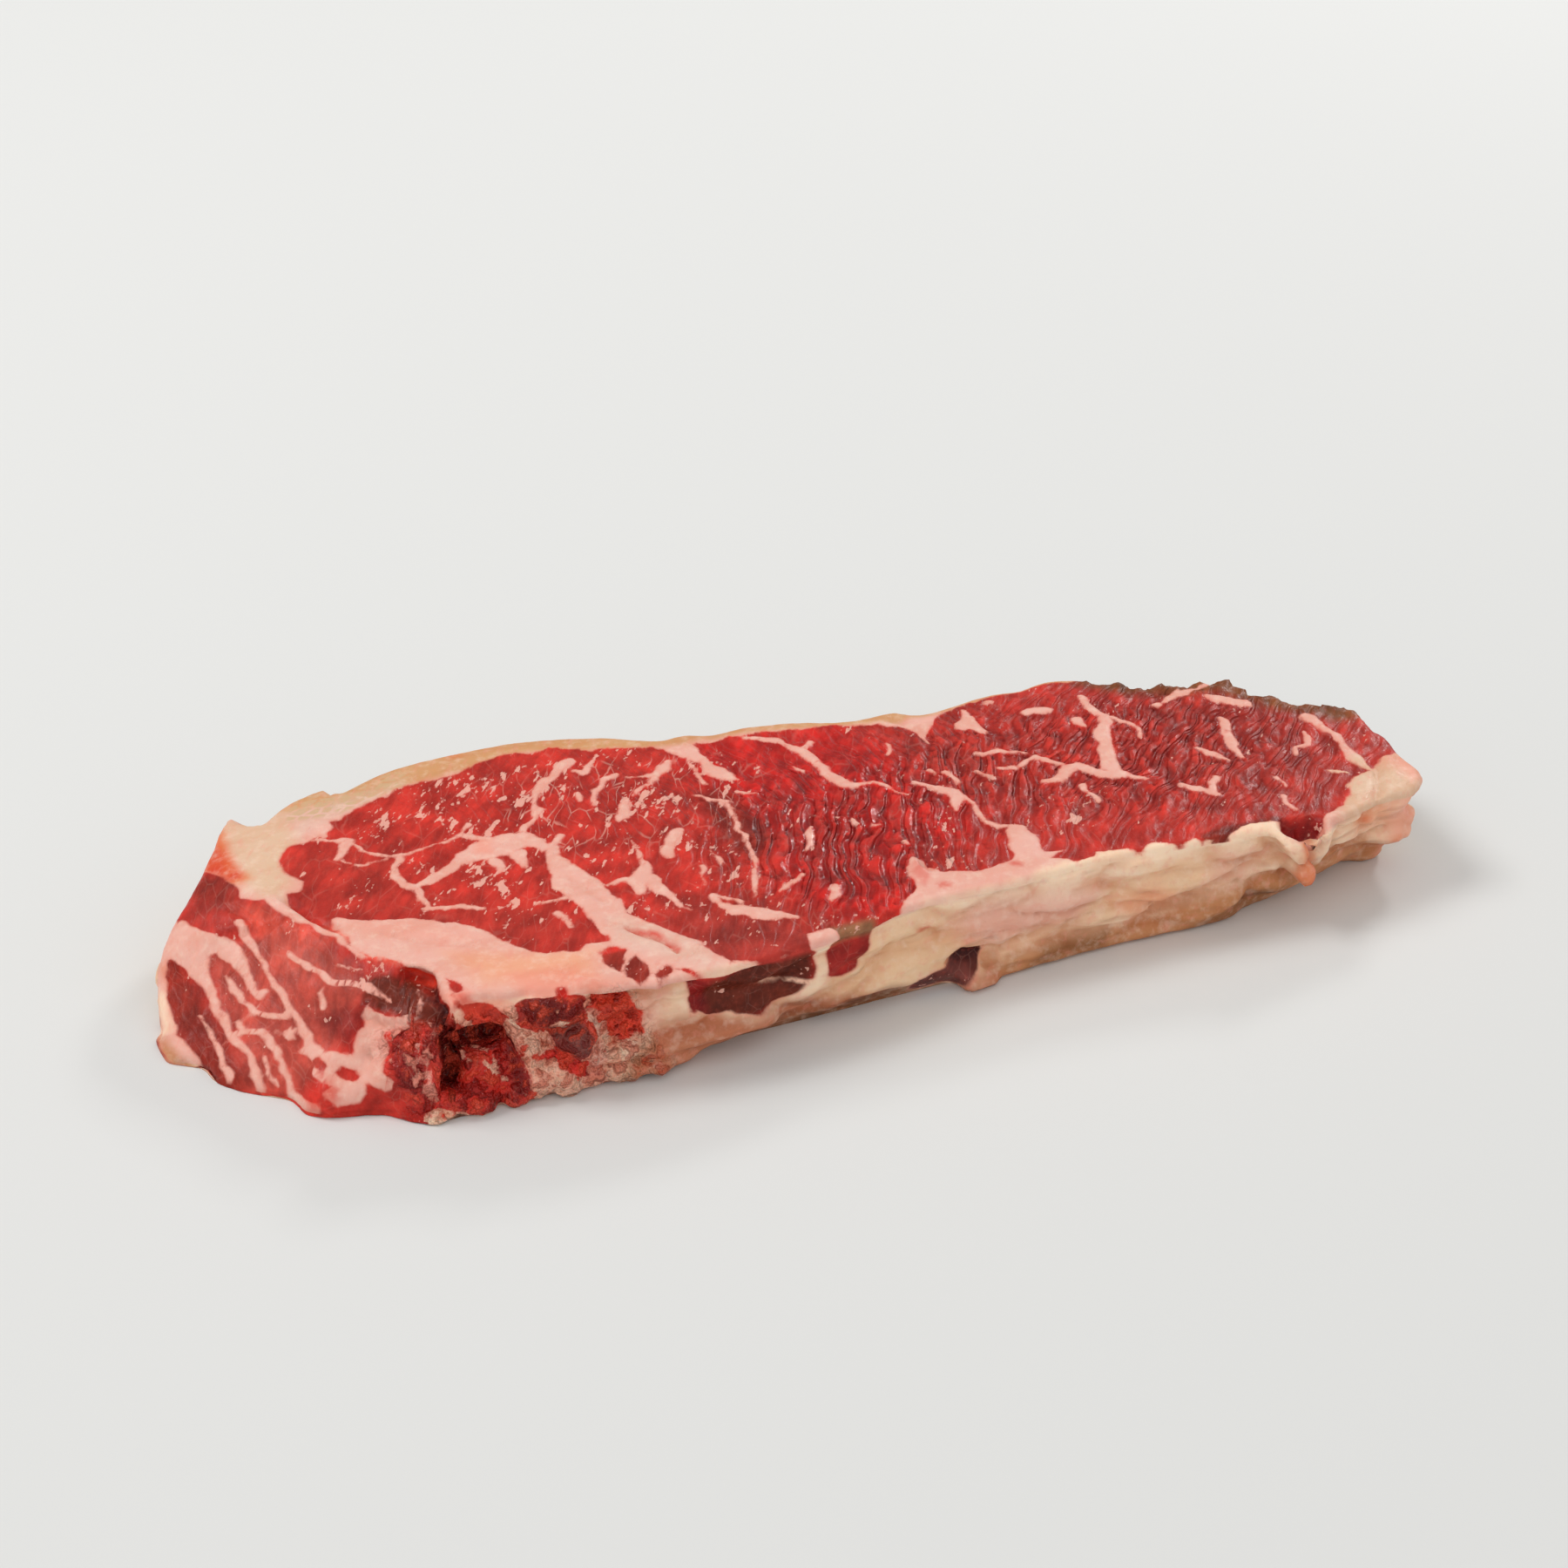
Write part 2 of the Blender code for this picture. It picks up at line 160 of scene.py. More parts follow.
def face_height(points, loop):
    """Height of the cut face over a place, and how far the place is from the rim."""
    nearest = np.full(len(points), 1e9)
    edge = np.full(len(points), THICKNESS)
    for start in range(0, len(loop), 40):
        part = loop[start:start + 40]
        gap = np.linalg.norm(points[:, None, :2] - part[None, :, :2], axis=2)
        k = gap.argmin(1)
        low = gap[np.arange(len(points)), k]
        closer = low < nearest
        nearest = np.where(closer, low, nearest)
        edge = np.where(closer, part[k, 2], edge)
    tail_side = [(-150.0, 60.0), (-112.0, 60.0)] + RIDGE + [(-84.0, -70.0), (-150.0, -70.0)]
    past = np.where(inside(points, np.array(tail_side)), to_line(points[:, :2], RIDGE), 0)
    share = past / np.maximum(past + nearest, 1e-6)
    bend = (np.sqrt(share ** 2 + SHOULDER ** 2) - SHOULDER) / (np.sqrt(1 + SHOULDER ** 2) - SHOULDER)
    return THICKNESS - (THICKNESS - edge) * bend, nearest


def even_points(outline, step, seed):
    """Evenly scattered points inside an outline, in rows that are half a step apart."""
    low, high = outline.min(0), outline.max(0)
    chance = np.random.default_rng(seed)
    grid = []
    for row, y in enumerate(np.arange(low[1], high[1], step * 0.866)):
        x = np.arange(low[0] + (row % 2) * step / 2, high[0], step)
        grid.append(np.stack([x, np.full(len(x), y)], 1))
    grid = np.vstack(grid)
    grid += chance.uniform(-0.14, 0.14, grid.shape) * step
    return grid[inside(grid, outline)]


def filled(outline, points):
    """Triangles that fill an outline, through the points given."""
    points = np.vstack([outline, points])
    made = delaunay_2d_cdt([Vector(p) for p in points], [], [list(range(len(outline)))], 1, 1e-6)
    return np.array([tuple(v) for v in made[0]]), [tuple(f) for f in made[2]]


rim = closed_curve(RIM, RIM_STEP)
rim_out = outward(rim, 11)
craggy = ramp(rim[:, 0], 84, 8) * ramp(rim[:, 1], -4, 5)
ragged = np.exp(-((rim[:, 0] + 72) / 16) ** 2) * (rim[:, 1] < -30)
wave = lumps(flat(rim), 5.5, 3)
fine_wave = lumps(flat(rim), 1.9, 4)
rim[:, :2] += rim_out * (wave * (0.25 + CRAG_HEIGHT * craggy + 0.6 * ragged))[:, None]
rim[:, :2] += rim_out * (fine_wave * (0.1 + 0.45 * craggy + 0.3 * ragged))[:, None]

# The marbling
# Fat that grew between and inside the muscles, seen where the knife cut through it.
# Each vein is a line of points at the level of the cut face, with its width at every point.
# Lower places are drawn where the line of sight to them crosses that level.
VEINS = [
    [(-98, 25, 1.2), (-91, 22.5, 1.2), (-88, 21.5, 1.4), (-89, 20, 3), (-91, 17.5, 2.2),
     (-93, 15, 1.5)],
    [(-88, 20, 1), (-87, 17, .8), (-85, 14.5, .8), (-82, 12.5, .9), (-79, 12, .8), (-72, 14, .8),
     (-65, 16, .8)],
    [(-93, 15, .6), (-91, 12.5, .5), (-88, 10.5, .5), (-82, 12, .5)],
    [(-80, 11.5, 1.2), (-82, 8, 1.6), (-82.5, 4, 2), (-82, 1, 2.2), (-80, -1, 2.2), (-80, -6, 1.6),
     (-79, -9, 1)],
    [(-80, -1, 2), (-76, 1, 2.3), (-73, 3, 2.6), (-67, 7, 3)],
    [(-67, 7, 4.5), (-63, 8.5, 7), (-58, 9.5, 8), (-54, 10, 6), (-52, 8, 4), (-50, 5, 2)],
    [(-50, 5, 1.6), (-46, 8.5, 1.8)],
    [(-63, 20, 1), (-66, 16, 1)],
    [(-61.5, 4, 3), (-61.5, -1, 1)],
    [(-56.5, 5, 3.4), (-56.5, -1, 1.2)],
    [(-66, 16, 1), (-60, 12, 3)],
    [(-36, 38, 3.5), (-41, 32.5, 2), (-46, 27.5, 2.2), (-48, 23, 1.5), (-47.5, 20, 2.5),
     (-50, 17, 1.2), (-53.5, 12.5, 2)],
    [(-36, 33.5, 1.2), (-33.5, 32, 2), (-30, 37, .8)],
    [(-28, 29, 1), (-31, 27.5, 1.8), (-35, 21, 1), (-36, 18, .8)],
    [(-38, 24, 1.4), (-38, 21, 1.2)],
    [(-29, 17, 2), (-31, 13, 2.8), (-33, 10, 1.5)],
    [(-15, 31, 1.5), (-17, 28, 3), (-19, 26, 2.5), (-22, 26, 1), (-26, 27, .7)],
    [(-20, 25, 1.8), (-22, 22.5, 1.4), (-27, 19.5, 1)],
    [(-12, 39, 8), (-10, 33, 5), (-8, 29, 2.5), (-7.5, 25, 3), (-6.5, 22, 4.5), (-5, 20, 3.5),
     (-4, 18, 1.5)],
    [(-11, 31, .8), (-11, 18.5, .8)],
    [(-14, 15, .9), (-12, 12, 1.3), (-8, 10, .8)],
    [(-5, 13, 1.3), (-2, 11.5, 1)],
    [(-22, 2, 2), (-25, -1, 3), (-27, -4, 3), (-27, -7, 1.6)],
    [(-9, 10, .8), (-8.5, 7, 1), (-9.5, 2, 1), (-10, -5, 1.2), (-10.5, -10, 1.1), (-11, -15, 1),
     (-12.5, -19, 1.2), (-14.5, -24, 1), (-15.5, -28, .7)],
    [(-49.5, 6, 2), (-49.5, 0, 3.5), (-49.5, -5, 6), (-49, -10, 9), (-47.5, -15, 8), (-46, -20, 8),
     (-46, -25, 8), (-44.5, -30, 9), (-43, -35, 12), (-39, -40, 12), (-35, -45, 10), (-32, -49, 7)],
    [(-52, -15, 1.5), (-55, -15, 1.3), (-58, -15.5, .8)],
    [(-33, -7, 1.8), (-34, -11, 4), (-36, -14, 5), (-37, -18, 2)],
    [(-43, -14, 1.2), (-38, -12.5, 1.4)],
    [(-34, -12, 3), (-33, -17, 3), (-32, -21, 2), (-31, -25, 1.2), (-29.5, -28, .6)],
    [(-33, -6, 1), (-32.5, 2, .7)],
    [(-80, -9, 1.4), (-76, -10.5, 1.4), (-73, -11, 1.4), (-69, -13, 1)],
    [(-55.5, -20, 1.2), (-54, -26, 1)],
    [(-24, -25, 1), (-23, -28.5, 1.5), (-20.5, -31.5, 3.5), (-17, -34, 4), (-13.5, -36.5, 3),
     (-10.5, -38, 1)],
    [(-23.5, -24.5, .9), (-18.5, -29, .8)],
    [(-10, -27.5, 1), (-7, -25.5, 1.5), (-4, -23.5, 1)],
    [(1, -30, 2), (-.5, -33, 2.6), (-2, -34.5, 1.4)],
    [(5, -6, 1), (3, -9.5, 1.7), (1, -13.5, 1)],
    [(-22, -13, 1), (-24, -20, .8)],
    [(-18.5, -8, 1), (-18, -13, 1)],
    [(4, 35, 1), (7, 33.5, 2), (10, 31, 2), (12, 28, 2), (14, 24, 3.2), (15, 20, 3.2),
     (15.5, 16, 2.5), (16, 12, 2.5), (17.5, 9, 3.5), (20, 7, 1.6), (24, 7, 1), (26, 5, 1), (27, 2, 1),
     (29, 0, .8)],
    [(17, 28, 1.4), (15.5, 26, 2)],
    [(32, 4, 1.5), (34, 2, 1.6), (36, 0, 2), (38, -2.5, 3), (38.5, -5, 3.5), (36, -10, 1)],
    [(40, -5, 1.6), (40.5, -9, 1.3), (40, -13, 1.3), (40, -17, 1.4), (42, -19, 1.4), (44, -20, 1.8),
     (46, -21.5, 3)],
    [(44.5, -22, 4), (44.5, -26, 5.5), (44, -30, 6), (43, -36, 7)],
    [(54.5, 30, 1.5), (54, 26, 3), (53, 23.5, 5), (54.5, 20, 2)],
    [(50, 11, 1), (55, 10.3, 1.6), (60, 7.5, .6)],
    [(56.5, 2.5, 1), (59, 4.5, 1.8), (61, 5, 1.6), (64, 2, 1.4), (66, 0, .8)],
    [(52, 3.5, 1.4), (55, 2.5, 2)],
    [(47, 4, .9), (49, 0, .9)],
    [(40.5, 6, 1.1), (41, 1, 1)],
    [(37, 8, 1.4), (38, 6.5, 1)],
    [(32.5, 21, 1.1), (31.5, 17, .8)],
    [(10, 19, 1.2), (11, 17, 1)],
    [(67.5, 24, 2.4), (71.5, 24, 2.8)],
    [(77, 17.5, 2.6), (77, 14.5, 2)],
    [(61, 31.5, 2), (62, 31.5, 2)],
    [(97, 18.3, 1.8), (97, 17.6, 1.6)],
    [(18, -10, 1.4), (19, -10, 1.2)],
    [(14, -6, 1.2), (14.2, -7, 1)],
    [(21.5, -17.5, 1.2), (21.5, -18.5, 1)],
    [(82, 26.5, 1.6), (81.5, 21, 2.2), (83.5, 17, 2), (82, 13, 3), (79.5, 10, 3.5), (78, 5, 3.5),
     (76.5, 0, 3.8), (75, -5, 4), (75, -8, 2.5)],
    [(84, 16, 1), (87.5, 12, 1.5), (88, 9, 1.4), (87, 6, .8)],
    [(58.5, -5.5, 1.8), (61, -5.5, 2.5), (63.5, -4.5, 2.5), (66, -2, 3), (68.5, -1.5, 3),
     (70.5, -4, 3), (72.5, -6.5, 3), (74.5, -8, 3.5), (77, -8, 2.5), (79, -9.5, 1.3),
     (80.3, -11.5, .7)],
    [(86.5, -16, 1.2), (88, -18.5, 2), (90, -20.5, 2.4), (91.5, -23, 2.2)],
    [(91.5, -20.5, 2), (94.5, -15.5, 1.6)],
    [(66, -9, 1.4), (66.5, -16, 1)],
    [(97, -3, 1), (98, -5.5, 1.8), (99.5, -8, 1.8), (101, -9.5, 1)],
    [(99, 18.5, 1.2), (104, 21, 1.8), (108, 22, 1.5), (111.5, 23, 1.3)],
    [(108, 7.5, 1.4), (107, 5, 2.4), (105.5, 0, 2.4), (104.5, -5, 2.4), (104, -10, 1.2)],
    [(110, 17, 3), (113, 14, 4), (115.5, 11.5, 3)],
    [(126, 1, 3.5), (126.5, -4, 2.2), (128, -8, 2.5), (127.5, -13, 2.5), (126.5, -17, 3),
     (127, -19.5, 3.5), (127, -24, 2)],
    [(122.5, -5, 1), (120.5, -9.5, 1.3), (117, -10.5, 1.2), (115.5, -12.5, .8)],
    [(119, -22, 1), (122, -24, 1)],
    [(105, -28, 1), (103.5, -31, 1.3), (104.5, -34, 1)],
    [(107, -21, 1.2), (107, -23.5, 1)],
    # strips of the tail
    [(-129.5, 3, 3), (-132, -4, 4), (-134, -11, 3), (-135.6, -20, 2.4), (-136.6, -30, 2.4),
     (-137, -38, 3.6), (-136, -44, 4), (-134.5, -48, 3)],
    [(-118.6, -24, 2), (-118.8, -28, 1.8), (-118, -29.5, 2.2), (-116.8, -28, 1.8)],
    [(-122.7, -20, .8), (-122.3, -25, 1.5), (-121.5, -30, 1.5), (-120, -34, 1.6), (-118, -36.5, 1.8),
     (-115.5, -38, 1.6), (-113.5, -36, 1.2)],
    [(-116, -1, 1.4), (-116.3, -7, 2.2), (-115.5, -12, 1.6), (-114.8, -17, .9), (-115, -22, 1.2),
     (-114.2, -28, 1.5), (-113.5, -34, 1.5), (-113, -40, 1.4), (-112.5, -46, 1.8), (-112, -51, 3)],
    [(-109.5, -15.5, .8), (-108.5, -18, 1.8), (-107.5, -21.5, 2), (-105, -25, 1.8), (-104, -29, 2),
     (-101, -31, 2.2), (-97.5, -33, 2.5), (-96, -37, 1.8), (-95, -40, 1)],
    [(-101.5, -23.5, .5), (-99, -26.5, .7), (-97, -27, .5)],
    [(-124, -36, .8), (-123, -39.3, 1.4)],
    [(-124.5, -40.5, 2), (-120.5, -41, 2), (-119.5, -44, 1.6), (-119, -50, 1.3), (-118.8, -56, 1.3),
     (-118.8, -62, 1.5), (-118, -66, 2), (-115.5, -68.5, 2)],
    [(-121.5, -50, .8), (-121.7, -56, 1), (-121.5, -60, .8)],
    [(-117.6, -42, .6), (-116, -46, .9)],
    [(-130.5, -32, .5), (-129.5, -38, 1), (-129, -46, 1.2), (-129.2, -50, 1.5), (-128.7, -54, 2)],
    [(-114.6, -43.5, 2.2), (-115.3, -46, 1.2)],
    [(-106.5, -32, .8), (-107.5, -38, 1.6)],
]
# Broad fat: outlines, drawn the same way
BACK_EDGE = [
    (-98, 24), (-92.5, 24.5), (-90.5, 28), (-90.5, 30.5), (-88, 31), (-85, 33), (-80, 36), (-75, 38),
    (-70, 40), (-61, 40.5), (-58, 42.5), (-54, 44), (-50, 45.5), (-45, 45.5), (-42, 44), (-38, 45),
    (-34, 44), (-30, 41.5), (-22, 39.5), (-17, 38), (-14.5, 36), (-7, 35.5), (5, 36), (12, 35.3),
    (17, 34), (24, 34), (28, 32.5), (33, 30.5), (38, 28.5), (40.5, 26), (42, 20), (43, 23), (46, 27),
    (49, 30), (52, 31.5), (57, 33), (62, 34), (68, 33.5), (77, 35.2), (86, 34.2),
]
FRONT_EDGE = [
    (-33, -50.5), (-30, -49.5), (-20, -50.5), (-11.5, -49), (-11, -45), (-6, -44), (-5, -46), (-4, -49),
    (2, -48), (4, -45.5), (7, -45), (10, -42.5), (12.5, -40), (16, -36.5), (17, -35), (16.5, -32),
    (17.5, -28.5), (19, -26), (21, -25), (22, -28), (23, -32), (26, -33), (30, -34.5), (37, -34),
    (39, -32), (41, -28), (42, -24), (47, -22.5), (47.5, -25), (47, -32), (52, -32.5), (47, -34.5),
    (52, -37.5), (56, -37), (57, -35.5), (60, -36), (66, -38), (70, -36.5), (74, -38.5), (79, -37.5),
    (80, -39), (85, -39.5), (90, -37), (95, -36.5), (98.5, -38), (103, -40.8), (107, -40), (110, -38),
    (115, -36), (118, -33), (120, -29), (122.5, -26), (127, -25), (130, -23), (134, -21), (139, -19),
]
BROAD_FAT = [
    BACK_EDGE + [(88, 60), (-98, 60)],
    FRONT_EDGE + [(150, -70), (-33, -70)],
    # creamy block at the tail's back corner, drawn out along the ridge
    [(-113.5, 36), (-113, 44), (-98, 44), (-96, 36), (-93, 33), (-90.5, 31.5), (-90.5, 28),
     (-92.5, 24.5), (-97.5, 24.5), (-100, 23.5), (-103, 21.5), (-104, 18), (-103, 12), (-101, 9),
     (-103, 5.5), (-105.5, 6), (-105, 0), (-103, -5), (-101, -9), (-98.5, -13), (-97, -17.5),
     (-95, -23.5), (-96.2, -23), (-98, -18), (-100.5, -13), (-103, -9), (-106, -5), (-108.5, 0),
     (-110, 5), (-114, 7), (-114.5, 13), (-115.5, 15.5), (-119.5, 20), (-117.5, 25), (-116.5, 30),
     (-114, 40)],
    # pink fat in front of the ridge, and the cream fat beside the torn corner
    [(-98.5, -7), (-97, -6.5), (-95, -9), (-90, -10.5), (-85, -11.5), (-80, -14), (-75, -17),
     (-71, -21), (-69, -24), (-67, -28), (-64, -32), (-59, -34), (-55, -35), (-53, -33), (-48, -34),
     (-42, -44), (-38, -50.5), (-32, -52), (-32, -70), (-86, -70), (-86, -34), (-88, -29),
     (-90.5, -26.5), (-94, -25), (-95.5, -22), (-97.5, -16), (-99, -10)],
    # pale fat of the tail, running down it as one strip
    [(-129, 1), (-127, 3), (-125.5, 0), (-123, -3), (-120, -6), (-118, -11), (-117.5, -15),
     (-118, -21), (-118.7, -26), (-119.5, -26), (-120.3, -20), (-121.5, -14.5), (-123, -11),
     (-124.5, -11.5), (-125.5, -17), (-125.7, -25), (-125.5, -33), (-125, -40), (-123.5, -48),
     (-123, -57), (-124, -62), (-124.9, -57), (-124.9, -48), (-126.5, -42), (-127.2, -33),
     (-128, -24), (-129.5, -16), (-131, -11), (-133.5, -10), (-132, -4)],
    # torn white fat at the foot of the tail
    [(-112.5, -48), (-111, -49), (-110, -52), (-108, -53.5), (-106, -55), (-104, -50.5),
     (-101.5, -47), (-100.5, -42.5), (-99, -40.5), (-98, -43), (-95, -46.5), (-92.5, -46), (-91, -48),
     (-91.5, -50), (-97.5, -49.5), (-98.5, -55), (-99.5, -60), (-100.5, -63), (-99.8, -68),
     (-102.5, -69), (-105, -65), (-106, -68), (-108, -70.5), (-112, -70), (-113.5, -66),
     (-112, -63.5), (-114, -59), (-113, -55), (-115.5, -50.5)],
]
LEAN_ISLANDS = [
    [(-52, -37), (-48, -36), (-46.5, -38.5), (-48, -42), (-50, -45), (-52, -41)],
    [(-47, -42), (-45, -41), (-44, -44.5), (-44.5, -48), (-47, -50), (-49.5, -47.5), (-49, -45)],
    [(-44, -48), (-41, -46.5), (-39.5, -47), (-40, -49.5), (-44, -50)],
    [(-113.4, -54), (-111.4, -54), (-111, -57), (-112, -59), (-113.5, -57)],
    [(-110, -59), (-108.5, -57.5), (-106.2, -60), (-106, -63), (-108, -64), (-109.8, -61)],
]
VIEW_POINT = (-195.4, -538.8, 362.0)


def as_seen(points):
    """Where a line from the view point through each place meets the level of the cut face."""
    eye = np.array(VIEW_POINT)
    reach = (THICKNESS - eye[2]) / (points[:, 2] - eye[2])
    return eye[:2] + (points[:, :2] - eye[:2]) * reach[:, None]


def vein_depth(spots, veins):
    """Millimetres inside the nearest of these veins, negative outside them."""
    best = np.full(len(spots), -99.0)
    for vein in veins:
        for (ax, ay, aw), (bx, by, bw) in zip(vein[:-1], vein[1:]):
            a, along = np.array([ax, ay]), np.array([bx - ax, by - ay])
            share = np.clip((spots - a) @ along / (along @ along), 0, 1)
            gap = np.linalg.norm(spots - a - share[:, None] * along, axis=1)
            best = np.maximum(best, (aw + share * (bw - aw)) / 2 - gap)
    return best


def signed_depth(spots, outline):
    """Millimetres inside an outline, negative outside it."""
    closed = list(outline) + [outline[0]]
    gap = to_line(spots, closed)
    return np.where(inside(spots, np.array(outline, float)), gap, -gap)


def wobbled(spots, reach, size, seed):
    """Spots shifted by smooth noise, so that drawn edges turn ragged as in meat."""
    places = np.column_stack([spots, np.zeros(len(spots))])
    return spots + reach * np.column_stack([lumps(places, size, seed), lumps(places, size, seed + 1)])


def fat_depth(spots):
    """Millimetres inside the fat of the cut face, negative in the lean."""
    spots = wobbled(spots, 0.8, 3.2, 21)
    depth = vein_depth(spots, VEINS)
    for outline in BROAD_FAT:
        depth = np.maximum(depth, signed_depth(spots, outline))
    for outline in LEAN_ISLANDS:
        depth = np.minimum(depth, -signed_depth(spots, outline))
    return depth


# Points of the cut face, closer together along the edges of the marbling
rough = even_points(rim[:, :2], VEIN_STEP, 11)
rough_height, rough_gap = face_height(rough, rim)
rough_depth = fat_depth(as_seen(np.column_stack([rough, rough_height])))
near_vein = (np.abs(rough_depth) < 0.8) & (rough_gap > RIM_ROUND + 0.5)
coarse = even_points(rim[:, :2], FACE_STEP, 12)
coarse_height, coarse_gap = face_height(coarse, rim)
coarse_depth = fat_depth(as_seen(np.column_stack([coarse, coarse_height])))
open_face = (np.abs(coarse_depth) >= 0.8 + FACE_STEP * 0.3) & (coarse_gap > RIM_ROUND + 0.5)
bands = []
closed_rim = np.vstack([rim[:, :2], rim[:1, :2]])
for ring in (0.25, 0.7, RIM_ROUND):
    band = rim[:, :2] - rim_out * ring
    band = band[inside(band, rim[:, :2])]
    bands.append(band[to_line(band, closed_rim) > ring * 0.8])
face_xy, face_faces = filled(rim[:, :2], np.vstack(bands + [rough[near_vein], coarse[open_face]]))
face_z, from_rim = face_height(face_xy, rim)
face_base = np.column_stack([face_xy, face_z])
rounding = np.minimum(RIM_ROUND, face_z * 0.6)
reach = np.clip(rounding - from_rim, 0, None)
face_z = face_z - rounding + np.sqrt(np.maximum(rounding ** 2 - reach ** 2, 0))
calm = ramp(from_rim, 0, 5)
face_z += calm * FACE_SWELL * lumps(flat(face_xy), 26, 5)
edge_z = face_z[:len(rim)]

# The sides, ring by ring from the rim down to the foot, and then the underside
count = len(rim)
rings = []
foot_round = np.minimum(FOOT_ROUND, edge_z * 0.45)
for ring in range(1, WALL_RINGS + 1):
    down = ring / WALL_RINGS
    z = edge_z * (1 - down)
    lean = np.where(rim[:, 3] > 0, rim[:, 3] * down ** 1.2, rim[:, 3] * down ** 1.8)
    tuck = np.clip(foot_round - z, 0, None)
    lean -= foot_round - np.sqrt(np.maximum(foot_round ** 2 - tuck ** 2, 0))
    bulge = ramp(rim[:, 2], 10, 10) * np.sin(np.pi * down)
    spots = np.column_stack([rim[:, 0] * 0.35, rim[:, 1] * 0.35, z * 1.6])
    lean += bulge * ROLL_HEIGHT * lumps(spots, 5, 8)
    rings.append(np.column_stack([rim[:, :2] + rim_out * lean[:, None], z]))
foot = rings[-1][:, :2]
under_xy, under_faces = filled(foot, even_points(foot, UNDER_STEP, 13))

verts = [np.column_stack([face_xy, face_z])] + rings
verts.append(flat(under_xy[count:]))
verts = np.vstack(verts)
first_ring = len(face_xy)
last_ring = first_ring + (WALL_RINGS - 1) * count
after_rings = last_ring + count
faces = list(face_faces)
for ring in range(WALL_RINGS):
    upper = 0 if ring == 0 else first_ring + (ring - 1) * count
    lower = first_ring + ring * count
    for k in range(count):
        n = (k + 1) % count
        faces.append((upper + k, lower + k, lower + n, upper + n))
for f in under_faces:
    faces.append(tuple(last_ring + v if v < count else after_rings + v - count for v in f)[::-1])
number = np.arange(len(verts))
slab_face = number < first_ring
under = number >= last_ring
wall = ~slab_face & ~under

# Presses and swellings
# The slice is soft, so the knife and its own weight left dents, lips and rolls round its edge.
# Each move is a line of points, a radius, and how far the meat at the line goes.
MOVES = [
    ([(-88.5, -33.0, 23.0), (-86.5, -41.0, 17.0), (-85.5, -48.0, 8.0)], 4.5, (1.0, 4.5, -2.5)),
    ([(-80.0, -47.0, 13.0), (-76.0, -47.0, 12.5)], 5.0, (0.0, 4.5, 0.5)),
    ([(-69.0, -48.0, 19.0), (-62.0, -48.5, 18.5)], 5.0, (0.0, -1.8, 0.3)),
    ([(-60.0, -49.5, 12.0)], 5.0, (0.0, -2.2, 0.0)),
    ([(-72.0, -51.5, 4.0), (-62.0, -51.5, 3.5)], 4.5, (0.0, -1.6, 0.0)),
    ([(-97.0, -42.0, 6.0), (-91.5, -43.0, 9.0)], 5.5, (-0.8, -1.8, 1.6)),
    ([(-50.0, -50.0, 12.0), (-34.0, -50.0, 16.0), (-14.0, -47.5, 15.0)], 5.5, (0.0, 2.0, 0.0)),
    ([(-44.0, -49.5, 4.0), (-32.0, -48.5, 7.0), (-20.0, -47.0, 6.0)], 5.0, (0.0, -1.4, 0.0)),
    ([(25.0, -43.0, 6.5), (31.0, -42.5, 6.5)], 4.0, (0.0, 2.6, 0.0)),
    ([(26.5, -44.5, 1.0), (31.0, -44.5, 0.8)], 3.0, (0.0, -2.8, 0.0)),
    ([(-34.0, -47.0, 0.0), (-10.0, -45.5, 0.0), (22.0, -43.0, 0.0)], 4.6, (0.0, 3.4, 0.0)),
    ([(40.0, -41.0, 15.0), (85.0, -40.5, 15.0)], 7.5, (0.0, -1.3, 0.0)),
    ([(36.0, -42.0, 7.0), (60.0, -40.5, 6.5), (80.0, -40.5, 8.5)], 4.0, (0.0, 1.3, 0.0)),
    ([(99.0, -42.0, 21.0), (102.5, -42.0, 15.0), (104.0, -40.5, 11.0)], 5.0, (0.5, -4.2, 0.0)),
    ([(100.5, -40.5, 23.0), (104.5, -40.5, 23.0)], 3.8, (0.0, 0.6, -4.5)),
    ([(108.0, -40.5, 19.0)], 4.5, (0.0, -1.8, 0.0)),
    ([(131.0, -34.0, 20.5), (136.5, -28.0, 20.5)], 4.5, (0.9, -1.2, 0.0)),
    ([(131.0, -31.5, 9.0), (136.5, -27.0, 10.5)], 6.5, (3.0, -1.6, 0.0)),
    ([(126.0, -35.0, 16.5), (136.5, -28.5, 16.8), (138.0, -20.0, 16.5)], 3.2, (-1.5, 1.5, 0.0)),
]
for line, radius, shift in MOVES:
    line = line if len(line) > 1 else line * 2
    pull = np.clip(1 - (to_line(verts, line) / radius) ** 2, 0, 1) ** 2
    moved = verts + pull[:, None] * np.array(shift)
    moved[:, 2] = np.where(under, 0, np.maximum(moved[:, 2], verts[:, 2].clip(0, 0.3)))
    verts = moved

# Colour of the meat
# Lean runs from bright red to dry brown, and fat from pink near the muscle to tan outside.
# Each patch is a colour, how soft its edge is, how strong it is, and its outline.


def paint(red, green, blue):
    """A colour as read off a screen, 0 to 255, turned to light values."""
    share = np.array([red, green, blue]) / 255
    return np.where(share <= 0.04045, share / 12.92, ((share + 0.055) / 1.055) ** 2.4)


